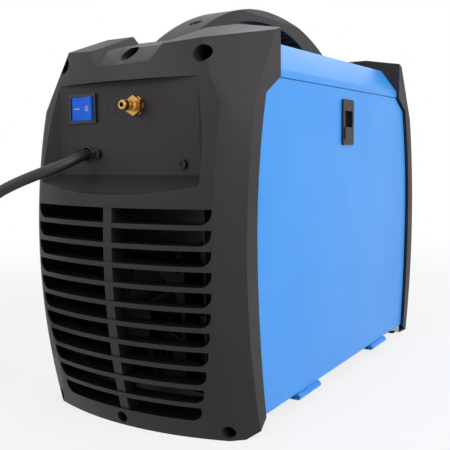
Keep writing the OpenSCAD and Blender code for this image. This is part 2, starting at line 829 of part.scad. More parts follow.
switch_body_w = switch_w - 4;
switch_body_h = switch_h - 3.5;
rocker = [switch_w - 4.7, switch_h - 5.2];
bezel_t = 2.2;
rocker_tilt = 7;
module mains_switch_body() {
  w = switch_w / 2;
  h = switch_h / 2;
  color([0.05, 0.05, 0.055]) difference() {
    union() {
      block([switch_x - w, recess_y, switch_z - h], [switch_x + w, recess_y + bezel_t, switch_z + h]);
      block([switch_x - switch_body_w / 2, recess_y - 22, switch_z - switch_body_h / 2],
        [switch_x + switch_body_w / 2, recess_y, switch_z + switch_body_h / 2]);
      for (i = [-1, 1], j = [-1, 1]) block([switch_x + i * 7 - 0.4, recess_y - 30, switch_z + j * 6 - 3],
        [switch_x + i * 7 + 0.4, recess_y - 22, switch_z + j * 6 + 3]);
    }
    block([switch_x - rocker[0] / 2 - 0.4, recess_y - 8, switch_z - rocker[1] / 2 - 0.3],
      [switch_x + rocker[0] / 2 + 0.4, recess_y + 5, switch_z + rocker[1] / 2 + 0.3]);
    rod_z(switch_z - 12, switch_z + 12, rocker_pin_r + 0.05, switch_x, rocker_y);
  }
}

// The rocker turns about a vertical pin; its face is a shallow V.
rocker_pin_r = 1.2;
rocker_y = recess_y - 2;
module switch_rocker() {
  w = rocker[0] / 2;
  h = rocker[1] / 2;
  rise = 3.4;
  color([0.05, 0.28, 0.95]) difference() {
    union() {
      translate([switch_x, rocker_y, switch_z - h]) rotate([0, 0, -rocker_tilt])
        linear_extrude(2 * h) polygon([[-w + 0.6, rise + 1.3], [0, rise], [w - 0.6, rise + 1.3],
          [w - 0.9, -1.5], [4, -2.6], [-4, -2.6], [-w + 0.9, -1.5]]);
      rod_z(switch_z - h - 0.8, switch_z + h + 0.8, rocker_pin_r, switch_x, rocker_y);
    }
  }
}

// Rubber bush in the lead's hole: a lip outside, a tapering sleeve through the clamp inside.
grommet_r = lead_d / 2 + 2;
grommet_bore = lead_r + 0.9;
sleeve_in = 26;
module cable_grommet() {
  color([0.04, 0.04, 0.045]) translate([lead_x, recess_y, lead_z]) rotate([-90, 0, 0])
    difference() {
      rotate_extrude($fn = round_fn) polygon([[0, -sleeve_in], [grommet_bore + 0.5, -sleeve_in],
        [grommet_r - 0.1, -wall - 12], [grommet_r - 0.1, 0], [grommet_r + 0.6, 0], [grommet_r + 0.3, 1.2],
        [0, 1.2]]);
      translate([0, 0, -sleeve_in - 1]) cylinder(h = sleeve_in + 4, r = grommet_bore, $fn = round_fn);
    }
}

clamp_pitch = 24.5;
clamp_y = recess_y - wall;
module cable_clamp() {
  color(steel) difference() {
    union() {
      block([lead_x - 18, clamp_y - 3, lead_z - 7], [lead_x + 18, clamp_y - clear, lead_z + 7]);
      rod_y(clamp_y - 16, clamp_y - 3, 9, lead_x, lead_z);
    }
    rod_y(clamp_y - 20, clamp_y + 3, grommet_r - 0.1, lead_x, lead_z);
    for (s = [-1, 1]) rod_y(clamp_y - 9, clamp_y + 3, 1.9, lead_x + s * clamp_pitch / 2, lead_z);
  }
}

module clamp_screws() {
  color(steel) for (s = [-1, 1])
    pan_screw(lead_x + s * clamp_pitch / 2, recess_y, lead_z, head_r = 4.4, shank_r = 1.85, shank = 7);
}

gas_thread_r = 4.8;
barb_r = 4.2;
barb_neck_r = 3.2;
barb_len = 20;
barb_land = 7;                     // straight end of the hose tail
module gas_inlet_barb() {
  nut = 5.5;
  color(brass) translate([gas_x, recess_y, gas_z]) rotate([-90, 0, 0])
    rotate_extrude($fn = round_fn) polygon([[2, -14], [gas_thread_r - 0.1, -14], [gas_thread_r - 0.1, nut + 1.6],
      [barb_neck_r, nut + 2.6], [barb_neck_r, barb_len - barb_land - 1.2], [barb_r + 0.5, barb_len - barb_land - 0.6],
      [barb_r + 0.5, barb_len - barb_land + 0.6], [barb_r, barb_len - barb_land + 0.9],
      [barb_r, barb_len - 0.9], [barb_r - 0.8, barb_len], [2, barb_len]]);
}

nut_flats = 15;
module gas_inlet_nut() {
  flange = 1.2;
  color(brass) difference() {
    union() {
      translate([gas_x, recess_y + flange, gas_z]) rotate([-90, 0, 0]) rotate([0, 0, 30])
        cylinder(h = 4.2, r = nut_flats / 2 / cos(30), $fn = 6);
      rod_y(recess_y, recess_y + flange + 0.1, nut_flats / 2 + 0.4, gas_x, gas_z);
    }
    rod_y(recess_y - 1, recess_y + 9, gas_thread_r - 0.05, gas_x, gas_z);
  }
}

valve_y = recess_y - 14;
module gas_valve() {
  color([0.55, 0.57, 0.6]) {
    block([gas_x - 13, valve_y - 26, gas_z - 11], [gas_x + 13, valve_y - clear, gas_z + 11]);
    rod_z(gas_z - 42, gas_z - 11, 5, gas_x, valve_y - 13);
  }
  color([0.1, 0.1, 0.1]) difference() {
    block([gas_x - 14, valve_y - 28, gas_z - 40], [gas_x + 14, valve_y + 1, gas_z - 12]);
    rod_z(gas_z - 43, gas_z - 11, 5, gas_x, valve_y - 13);
  }
  color(brass) rod_y(valve_y - 38, valve_y - 26, 3.2, gas_x, gas_z);
}

// Gas hose from the valve, through the divider, to the back of the torch socket.
hose_r = 4;
hose_pass = [divider_x, 42, 296];
hose_route = [
  [gas_x, valve_y - 38.3, gas_z], [gas_x, valve_y - 50, gas_z], [gas_x - 2, 128, 282], [-20, 104, 291],
  [-28, 76, 296], [-34, 54, 296], [-40, 40, 296], [-48, 26, 295], [-56, 8, 292], [-62, -20, 284],
  [-64, -50, 270], [-65, -80, 248], [-66, -108, 222], [-67, -130, 196], [-69, -148, 170],
  [-71, -166, 158], [-73, -180, 150.5], [-73.8, -188, 143], [torch_x, -191, 136], [torch_x, -191, 130.9]
];
module gas_hose() {
  color([0.1, 0.1, 0.1]) tube(hose_route, hose_r, 10);
}

// ---------------------------------------------------------------- power electronics

fan_x = 38;
fan_size = 120;
fan_z = tray_top + clear + fan_size / 2;
fan_y = tray_end - 46;
fan_t = 25;
blade_n = 7;
module fan_frame() {
  s = fan_size / 2;
  color([0.08, 0.08, 0.085]) difference() {
    union() {
      difference() {
        block([fan_x - s, fan_y, fan_z - s], [fan_x + s, fan_y + fan_t, fan_z + s]);
        rod_y(fan_y - 1, fan_y + fan_t + 1, s - 3, fan_x, fan_z);
      }
      rod_y(fan_y, fan_y + 4, 19, fan_x, fan_z);
      for (a = [45:90:315]) translate([fan_x, fan_y, fan_z]) rotate([0, a, 0])
        block([16, 0.3, -2.5], [s - 1.5, 3.7, 2.5]);
    }
    rod_y(fan_y - 1, fan_y + 9, 2.05, fan_x, fan_z);
    for (i = [-1, 1], j = [-1, 1])
      rod_y(fan_y - 1, fan_y + fan_t + 1, 2.1, fan_x + i * (s - 7.5), fan_z + j * (s - 7.5));
  }
}

module fan_rotor() {
  color([0.12, 0.12, 0.13]) {
    difference() {
      rod_y(fan_y + 4.6, fan_y + fan_t - 1, 20, fan_x, fan_z);
      rod_y(fan_y + 3, fan_y + fan_t - 4, 17, fan_x, fan_z);
    }
    rod_y(fan_y + 1, fan_y + fan_t - 3.9, 2, fan_x, fan_z);
    for (i = [0:blade_n - 1]) translate([fan_x, fan_y + fan_t / 2 + 1, fan_z])
      rotate([0, i * 360 / blade_n, 0]) rotate([0, 0, 0]) intersection() {
        translate([19, 0, 0]) rotate([38, 0, 0]) block([0, -1, -15], [fan_size / 2 - 3.8 - 19, 1, 15]);
        rod_y(-9, 9, fan_size / 2 - 3.8);
      }
  }
}

sink = [[-14, -70, tray_top + clear], [96, 112, 74]];
sink_fin = 9;
module heatsink() {
  a = sink[0];
  b = sink[1];
  color([0.75, 0.76, 0.78]) union() {
    block([a[0], a[1], b[2] - 8], b);
    for (x = [a[0]:sink_fin:b[0] - 2]) block([x, a[1], a[2]], [x + 2, b[1], b[2] - 7.9]);
  }
}

board_z = sink[1][2] + 6;
module power_board() {
  color([0.06, 0.30, 0.16]) union() {
    block([-20, -28, board_z], [100, 120, board_z + 1.6]);
    block([4, -78, board_z], [100, -27, board_z + 1.6]);
  }
  color(steel) for (x = [10, 90], y = [-62, 104]) rod_z(sink[1][2], board_z, 3, x, y);
}

module transformer() {
  z = board_z + 1.6;
  color([0.25, 0.22, 0.2]) block([14, -50, z], [70, 6, z + 20]);
  color([0.72, 0.45, 0.2]) block([22, -44, z + 20], [62, 0, z + 34]);
  color([0.25, 0.22, 0.2]) block([14, -50, z + 34], [70, 6, z + 52]);
}

module capacitors() {
  z = board_z + 1.6;
  color([0.1, 0.12, 0.2]) for (i = [0:2]) rod_z(z, z + 50, 15, 4 + i * 34, 40);
  color([0.1, 0.12, 0.2]) rod_z(z, z + 30, 9, 78, 82);
}

module output_choke() {
  color([0.5, 0.32, 0.18]) difference() {
    rod_y(-126, -96, 27, 40, tray_top + clear + 27);
    rod_y(-130, -90, 11, 40, tray_top + clear + 27);
  }
}

// ---------------------------------------------------------------- wire feed

drive_y = -103;
drive_z = wire_z - roller_r - wire_d / 2;
idler_z = wire_z + roller_r + wire_d / 2;
cheek = 3;                         // thickness of the pressure arm's side plates
roller_x0 = torch_x - 6;
roller_x1 = torch_x + 6;
pivot_y = -68;
pivot_z = idler_z + 8;
axle_r = 3;
motor_neck_r = 9;
body_x1 = divider_x - 0.2;
body_x0 = roller_x1 + cheek + 0.8;

module feeder_body() {
  color([0.2, 0.2, 0.21]) difference() {
    union() {
      block([body_x0, drive_y - 42, drive_z - 24], [body_x1, drive_y + 41, wire_z + 9]);
      block([roller_x0 - 1, drive_y + roller_r + 4, wire_z - 8], [body_x1, drive_y + 41, wire_z + 9]);
      block([roller_x0 - 1, drive_y - 42, wire_z - 8], [body_x1, drive_y - roller_r - 4, wire_z + 9]);
      block([roller_x0 + 0.5, pivot_y - 7, wire_z + 8.9], [roller_x1 - 0.5, drive_y + 41, pivot_z]);
      rod_x(roller_x0 + 0.5, roller_x1 - 0.5, 7, pivot_y, pivot_z);
    }
    rod_x(body_x0 - 5, body_x1 + 5, motor_neck_r + 0.3, drive_y, drive_z);
    rod_x(roller_x0 - 5, roller_x1 + 5, axle_r + 0.05, pivot_y, pivot_z);
    rod_y(drive_y - 50, drive_y + 50, guide_r + 0.1, torch_x, wire_z);
  }
}

guide_r = 3;
module wire_guides() {
  color(brass) difference() {
    union() {
      rod_y(drive_y + 8, drive_y + 50, guide_r, torch_x, wire_z);
      rod_y(-torch_plate + 29.3, drive_y - 8, guide_r, torch_x, wire_z);
    }
    rod_y(-torch_plate, drive_y + 60, 1.1, torch_x, wire_z);
    for (z = [drive_z, idler_z])
      rod_x(roller_x0 - 2, roller_x1 + 2, roller_r + 0.5, drive_y, z);
  }
}

shaft_r = 4;
module feed_motor() {
  color([0.45, 0.46, 0.48]) {
    rod_x(divider_x + sheet + 0.1, divider_x + 32, 24, drive_y, drive_z);
    rod_x(body_x0 + 2, divider_x + sheet + 0.2, motor_neck_r, drive_y, drive_z);
    block([divider_x + 8, drive_y + 10, drive_z - 20], [divider_x + 40, drive_y + 70, drive_z + 20]);
  }
}

// Drive roller with its shaft: the shaft turns in the motor's neck.
module drive_roller() {
  color([0.6, 0.61, 0.63]) difference() {
    union() {
      rod_x(roller_x0, roller_x1, roller_r, drive_y, drive_z);
      rod_x(roller_x1 - 0.1, body_x0 + 1.7, shaft_r, drive_y, drive_z);
    }
    rod_x(roller_x0 - 1, roller_x0 + 8, 1.9, drive_y, drive_z);
    translate([torch_x, drive_y, drive_z]) rotate([0, 90, 0])
      rotate_extrude($fn = round_fn) polygon([[roller_r + 1, -1.2], [roller_r - 0.5, 0], [roller_r + 1, 1.2]]);
  }
}

module roller_screw() {
  color(black) {
    rod_x(roller_x0 - 9, roller_x0 - 0.05, 9, drive_y, drive_z);
    rod_x(roller_x0 - 0.1, roller_x0 + 7, 1.8, drive_y, drive_z);
  }
}

module idler_roller() {
  color([0.6, 0.61, 0.63]) difference() {
    rod_x(roller_x0, roller_x1, roller_r, drive_y, idler_z);
    rod_x(roller_x0 - 1, roller_x1 + 1, axle_r + 0.05, drive_y, idler_z);
  }
}

arm_tip = drive_y - 32;
arm_top = idler_z + roller_r + 2;
module pressure_arm() {
  color([0.16, 0.16, 0.17]) difference() {
    union() {
      for (x = [roller_x0 - cheek - 0.5, roller_x1 + 0.5]) {
        rod_x(x, x + cheek, 8, pivot_y, pivot_z);
        rod_x(x, x + cheek, 9, drive_y, idler_z);
        plate_x(x, x + cheek) polygon([[pivot_y, pivot_z + 8], [pivot_y, pivot_z - 8], [drive_y, idler_z - 8],
          [arm_tip + 4, idler_z + 2], [arm_tip, idler_z + 6], [arm_tip, arm_top + 4], [drive_y + 16, arm_top + 4]]);
      }
      block([roller_x0 - cheek - 0.5, arm_tip, arm_top], [roller_x1 + cheek + 0.5, drive_y + 16, arm_top + 4]);
    }
    for (yz = [[pivot_y, pivot_z], [drive_y, idler_z]])
      rod_x(roller_x0 - 9, roller_x1 + 9, axle_r + 0.05, yz[0], yz[1]);
    rod_z(arm_top - 5, arm_top + 9, 3.05, torch_x, knob_y);
  }
}

// Axle of the idler and pivot of the arm, both turning with the arm.
module idler_axle() {
  color(steel) for (yz = [[pivot_y, pivot_z], [drive_y, idler_z]]) {
    rod_x(roller_x0 - cheek - 1, roller_x1 + cheek + 1, axle_r, yz[0], yz[1]);
    rod_x(roller_x0 - cheek - 2.2, roller_x0 - cheek - 0.55, axle_r + 2, yz[0], yz[1]);
  }
}

knob_y = arm_tip + 10;
module tension_knob() {
  ridge_n = 12;
  z0 = arm_top + 4 + clear;
  color(black) difference() {
    union() {
      rod_z(z0, z0 + 26, 9.5, torch_x, knob_y);
      rod_z(arm_top - 3, z0 + 1, 3, torch_x, knob_y);
    }
    for (i = [0:ridge_n - 1]) rotate_about(torch_x, knob_y, i * 360 / ridge_n)
      rod_z(z0 + 8, z0 + 30, 1.3, torch_x + 9.9, knob_y);
  }
}
module rotate_about(x, y, a) {
  translate([x, y, 0]) rotate([0, 0, a]) translate([-x, -y, 0]) children();
}

// ---------------------------------------------------------------- spool hub

hub_y = 62;
hub_z = 168;
spindle_r = 5;
hub_x1 = divider_x - 4;
hub_x0 = hub_x1 - 55;
module spool_spindle() {
  color(steel) {
    rod_x(hub_x0 + 4, divider_x + sheet + 6, spindle_r, hub_y, hub_z);
    rod_x(divider_x + sheet + 0.1, divider_x + sheet + 6, 9, hub_y, hub_z);
  }
}

peg_y = 18;
module spool_hub() {
  color([0.12, 0.12, 0.13]) difference() {
    union() {
      rod_x(hub_x0 + 6, hub_x1 - 4, hub_r, hub_y, hub_z);
      rod_x(hub_x1 - 4, hub_x1, hub_r + 8, hub_y, hub_z);
    }
    rod_x(hub_x0, hub_x1 + 1, spindle_r + 0.05, hub_y, hub_z);
    difference() {
      rod_x(hub_x0, hub_x1 - 8, hub_r - 3, hub_y, hub_z);
      rod_x(hub_x0 - 1, hub_x1 + 1, spindle_r + 3, hub_y, hub_z);
      for (a = [0:60:120]) translate([0, hub_y, hub_z]) rotate([a, 0, 0])
        block([hub_x0 + 6, -hub_r, -1], [hub_x1, hub_r, 1]);
    }
  }
}

module hub_retainer() {
  lobes = 6;
  color([0.75, 0.16, 0.12]) difference() {
    rod_x(hub_x0, hub_x0 + 5.7, hub_r - 1, hub_y, hub_z);
    for (i = [0:lobes - 1]) translate([0, hub_y, hub_z]) rotate([i * 360 / lobes, 0, 0])
      rod_x(hub_x0 - 1, hub_x0 + 9, 4.5, 0, hub_r + 1);
    rod_x(hub_x0 + 3.5, hub_x0 + 9, spindle_r + 1, hub_y, hub_z);
  }
}

// ---------------------------------------------------------------- front fittings

torch_thread_r = 15;
module torch_socket() {
  y = -torch_plate;
  color(brass) difference() {
    union() {
      rod_y(y - 16, y + 28, 12, torch_x, wire_z);
      rod_y(y - 4, y - 0, 20, torch_x, wire_z);
      rod_y(y, y + 8, torch_thread_r - 0.1, torch_x, wire_z);
      rod_z(wire_z + 11, wire_z + 15.5, 3.4, torch_x, y + 22);
    }
    rod_y(y - 20, y + 40, 5, torch_x, wire_z);
    rod_y(y - 20, y - 8, 8, torch_x, wire_z);
  }
}

socket_body_r = 14;
socket_len = 24;
module output_sockets() {
  y = -front_plate;
  color([0.1, 0.1, 0.1]) for (x = socket_xs) difference() {
    union() {
      rod_y(y - 6, y - clear, 17.5, x, socket_z);
      rod_y(y - clear - 0.1, y + 14, socket_body_r, x, socket_z);
    }
    rod_y(y - 10, y + 30, socket_r + 3.1, x, socket_z);
  }
}

module socket_contacts() {
  y = -front_plate;
  color(brass) for (x = socket_xs) difference() {
    union() {
      rod_y(y - 4, y + socket_len, socket_r + 3, x, socket_z);
      rod_y(y + 14.2, y + 18, 14, x, socket_z);
    }
    rod_y(y - 10, y + socket_len - 4, socket_r, x, socket_z);
    block([x + socket_r - 1, y - 5, socket_z - 1.5], [x + socket_r + 2, y + 9, socket_z + 1.5]);
  }
}

fascia_t = 2;
fascia_y = -recess_y;
knob_xs = [-42, 42];
knob_z = 240;
display = [62, 22];
display_z = 280;
button_xs = [-16, 0, 16];
button_z = 246;
button_r = 4.5;
module control_fascia() {
  w = recess_w - 2.5;
  color([0.16, 0.17, 0.18]) difference() {
    block([-w, fascia_y - fascia_t, recess_z0 + 1.5], [w, fascia_y, recess_z1 - 1]);
    for (x = knob_xs) rod_y(fascia_y - 5, fascia_y + 5, 4.2, x, knob_z);
    for (x = button_xs) rod_y(fascia_y - 5, fascia_y + 5, button_r + 0.25, x, button_z);
    block([-display[0] / 2, fascia_y - 5, display_z - display[1] / 2],
      [display[0] / 2, fascia_y + 5, display_z + display[1] / 2]);
    for (x = [-1, 1], z = [recess_z0 + 6, recess_z1 - 5])
      rod_y(fascia_y - 5, fascia_y + 5, 1.7, x * (recess_w - 8), z);
  }
}

module display_window() {
  color([0.25, 0.05, 0.06, 0.6])
    block([-display[0] / 2 + 0.2, fascia_y - fascia_t + 0.4, display_z - display[1] / 2 + 0.2],
      [display[0] / 2 - 0.2, fascia_y + 2, display_z + display[1] / 2 - 0.2]);
}

board_y = fascia_y + 14;
module control_board() {
  color([0.06, 0.30, 0.16]) block([-56, board_y, recess_z0 + 16], [56, board_y + 1.6, recess_z1 - 10]);
  color([0.2, 0.2, 0.2]) {
    block([-display[0] / 2, fascia_y + 2.3, display_z - 10], [display[0] / 2, board_y, display_z + 8]);
    for (x = knob_xs) difference() {
      block([x - 7, fascia_y + 5, knob_z - 7], [x + 7, board_y, knob_z + 7]);
      rod_y(fascia_y, fascia_y + 12, 3.05, x, knob_z);
    }
    for (x = button_xs) block([x - 3, fascia_y + 7.2, button_z - 3], [x + 3, board_y, button_z + 3]);
  }
  color(steel) for (x = [-52, 52], z = [recess_z0 + 18, recess_z1 - 13])
    rod_y(fascia_y + clear, board_y, 2.5, x, z);
}

module control_knob(x) {
  ridge_n = 20;
  y1 = fascia_y - fascia_t - 1;
  color([0.08, 0.08, 0.085]) difference() {
    union() {
      rod_y(y1 - 3, y1, knob_r, x, knob_z);
      rod_y(y1 - 15, y1 - 2.9, knob_r - 2, x, knob_z);
      rod_y(y1 - 0.1, fascia_y + 11, 3, x, knob_z);
    }
    for (i = [0:ridge_n - 1]) translate([x, 0, knob_z]) rotate([0, i * 360 / ridge_n, 0])
      rod_y(y1 - 20, y1 - 4, 0.8, knob_r - 1.8, 0);
    block([x - 0.7, y1 - 16, knob_z + 3], [x + 0.7, y1 - 14.4, knob_z + knob_r]);
  }
}

module knob_left() {
  control_knob(knob_xs[0]);
}

module knob_right() {
  control_knob(knob_xs[1]);
}

module push_button(x) {
  color([0.35, 0.36, 0.38]) {
    rod_y(fascia_y - fascia_t - 2.4, fascia_y + 2, button_r, x, button_z);
    rod_y(fascia_y + 0.4, fascia_y + 7.2 - clear - button_travel, button_r + 1, x, button_z);
  }
}

module button_left() {
  push_button(button_xs[0]);
}

module button_middle() {
  push_button(button_xs[1]);
}

module button_right() {
  push_button(button_xs[2]);
}

// ---------------------------------------------------------------- mains lead and plug

// Route of the free stretch, from the clamp inside the case to the start of the coil.
coil_z = lead_r + 1.6;
lead_route = [
  [lead_x, 205, lead_z], [lead_x, 213, lead_z], [lead_x, 221, 237.2], [46.8, 230, 234.4], [50.3, 240, 230.1],
  [57, 250, 225.5], [64.5, 258, 221.6], [73, 265, 217.3], [84, 271, 212], [97, 276, 205], [111, 280, 195],
  [124, 284, 181], [136, 288, 162], [146, 291, 138], [154, 294, 112], [162, 296, 86], [171, 299, 60],
  [184, 302, 37], [202, 304, 19], [222, 305, 9], [240, 305, coil_z], [250, 305, coil_z]
];
module mains_lead() {
  color([0.03, 0.03, 0.035]) tube(lead_route, lead_r, 8);
}

// Coil: the turns spiral in on the floor, climb a layer while the spiral turns round and
// spiral out again, then rise a little to the plug.
coil_r = 62;
turns_in = 2.5;
turns_out = 2.75;
ring_n = 24;
coil_gap = 0.6;
coil_pitch = lead_d + coil_gap;
plug_r = 19;
coil_start = lead_route[len(lead_route) - 1];
coil_mid = [coil_start[0] + lead_d, coil_start[1] - coil_r];
plug_z = plug_r + 0.1;
function smooth(t) = let (c = max(0, min(1, t))) c * c * (3 - 2 * c);
function coil_radius(t) = coil_r - coil_pitch * (t < turns_in ? t : 2 * turns_in - t);
function coil_height(t) = coil_z + coil_pitch * smooth((t - turns_in + 0.25) / 0.5)
  + (plug_z - coil_z - coil_pitch) * smooth((t - turns_in - turns_out + 0.25) / 0.25);
coil_turns = turns_in + turns_out;
coil_path = [for (i = [0:round(coil_turns * ring_n)]) let (t = i / ring_n, r = coil_radius(t), a = 90 - 360 * t)
  [coil_mid[0] + r * cos(a), coil_mid[1] + r * sin(a), coil_height(t)]];
coil_end = coil_path[len(coil_path) - 1] + [0, -lead_d, 0];
coil_points = concat([coil_start], coil_path, [coil_end]);
coil_clear = min([for (i = [0:len(coil_points) - 1], j = [i + 8:len(coil_points) - 1])
  if (j < len(coil_points)) norm(coil_points[i] - coil_points[j])]) - lead_d;
function run_length(p) = sum_list([for (i = [1:len(p) - 1]) norm(p[i] - p[i - 1])]);
function sum_list(v, i = 0) = i >= len(v) ? 0 : v[i] + sum_list(v, i + 1);
echo(least_gap_in_coil = coil_clear, lead_length = run_length(lead_route) + run_length(coil_points));
module lead_coil() {
  color([0.03, 0.03, 0.035]) tube(coil_points, lead_r, 6);
}

// Strap round the coil, on the side away from the case.
tie_w = 12;
tie_t = 1;
module lead_tie() {
  r0 = coil_radius(turns_in) - 2;
  r1 = coil_r + 4;
  z1 = coil_z + coil_pitch + lead_r + 0.4;
  color([0.10, 0.10, 0.11]) translate([coil_mid[0], coil_mid[1], 0]) rotate([0, 0, 180])
    plate_y(-tie_w / 2, tie_w / 2) difference() {
      translate([r0 - lead_r, 0]) square([r1 - r0 + 2 * lead_r, z1 + tie_t]);
      translate([r0 - lead_r + tie_t, tie_t]) square([r1 - r0 + 2 * lead_r - 2 * tie_t, z1 - tie_t]);
    }
}

plug_len = 42;
sleeve_len = 30;
pin_r = 2.4;
pin_len = 19;
pin_pitch = 19;
module plug_body() {
  color([0.03, 0.03, 0.035]) translate(coil_end) rotate([90, 0, 0]) difference() {
    rotate_extrude($fn = round_fn) polygon([[0, 0], [lead_r + 1.2, 0], [lead_r + 2.6, sleeve_len], [13, sleeve_len + 3],
      [15, sleeve_len + 14], [17, sleeve_len + 26], [plug_r, sleeve_len + 28], [plug_r, sleeve_len + plug_len - 1],
      [plug_r - 1, sleeve_len + plug_len], [0, sleeve_len + plug_len]]);
    for (s = [-1, 1]) translate([s * plug_r, 0, sleeve_len + 29]) rod_z(0, plug_len, 2.2);
    for (s = [-1, 1]) translate([0, s * pin_pitch / 2, sleeve_len + plug_len - 10]) rod_z(0, 12, pin_r);
  }
}

module plug_pins() {
  color(steel) translate(coil_end) rotate([90, 0, 0]) for (s = [-1, 1])
    translate([0, s * pin_pitch / 2, sleeve_len + plug_len]) {
      rod_z(-9.9, pin_len - 1.5, pin_r);
      translate([0, 0, pin_len - 1.5]) cylinder(h = 1.5, r1 = pin_r, r2 = pin_r - 1, $fn = round_fn);
    }
}

base_tray();
divider_panel();
cover();
rear_panel();
front_panel();
handle();
handle_screws();
rear_panel_screws();
front_panel_screws();
mains_switch_body();
switch_rocker();
cable_grommet();
cable_clamp();
clamp_screws();
gas_inlet_barb();
gas_inlet_nut();
gas_valve();
gas_hose();
fan_frame();
fan_rotor();
heatsink();
power_board();
transformer();
capacitors();
output_choke();
side_door();
door_knuckles();
hinge_brackets();
hinge_pins();
latch_plate();
latch_slider();
feeder_body();
feed_motor();
wire_guides();
drive_roller();
roller_screw();
pressure_arm();
idler_axle();
idler_roller();
tension_knob();
spool_spindle();
spool_hub();
hub_retainer();
torch_socket();
output_sockets();
socket_contacts();
control_fascia();
display_window();
control_board();
knob_left();
knob_right();
button_left();
button_middle();
button_right();
mains_lead();
lead_coil();
lead_tie();
plug_body();
plug_pins();
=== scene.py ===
"""Portable welding power source: finishes, dressing, studio and camera over the fixed frame."""

import logging
import math
from collections.abc import Iterable, Mapping, Sequence
from dataclasses import dataclass, field
from enum import Enum
from typing import ClassVar

import bmesh  # noqa: E402
import bpy  # noqa: E402
from mathutils import Matrix, Vector  # noqa: E402

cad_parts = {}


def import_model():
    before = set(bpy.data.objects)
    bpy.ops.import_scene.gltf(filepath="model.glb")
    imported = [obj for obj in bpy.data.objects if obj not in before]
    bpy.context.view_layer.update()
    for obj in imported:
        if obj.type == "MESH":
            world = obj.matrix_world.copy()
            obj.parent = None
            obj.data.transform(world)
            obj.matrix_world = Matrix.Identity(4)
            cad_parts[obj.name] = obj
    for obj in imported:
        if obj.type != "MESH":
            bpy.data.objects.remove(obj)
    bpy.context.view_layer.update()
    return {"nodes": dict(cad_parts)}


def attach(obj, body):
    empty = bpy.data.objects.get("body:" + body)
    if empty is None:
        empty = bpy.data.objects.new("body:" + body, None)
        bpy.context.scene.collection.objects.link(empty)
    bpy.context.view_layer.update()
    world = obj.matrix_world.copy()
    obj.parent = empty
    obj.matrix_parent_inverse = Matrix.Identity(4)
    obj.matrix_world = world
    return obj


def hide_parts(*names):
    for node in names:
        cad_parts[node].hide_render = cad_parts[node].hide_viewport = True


LOG = logging.getLogger("power_source")
MM = 0.001
NOISE_SPAN = (0.3, 0.7)
Node, NodeTree, Socket = bpy.types.Node, bpy.types.NodeTree, bpy.types.NodeSocket
Material, Mesh, Object = bpy.types.Material, bmesh.types.BMesh, bpy.types.Object
Colour = tuple[float, float, float]
Point = tuple[float, float, float]
# By finish, each node with the width of its rounded edges in millimetres.
Looks = Mapping[str, Mapping[str, float]]


def srgb(red: int, green: int, blue: int) -> Colour:
    """Turns a colour of 0 to 255 a channel, as a screen shows it, into linear values.

    Args:
        red: Red channel.
        green: Green channel.
        blue: Blue channel.

    Returns:
        The three linear values.
    """

    def one(value: int) -> float:
        """Linear value of one channel."""
        v = value / 255
        return v / 12.92 if v <= 0.04045 else ((v + 0.055) / 1.055) ** 2.4

    return one(red), one(green), one(blue)


# ---------------- shader nodes


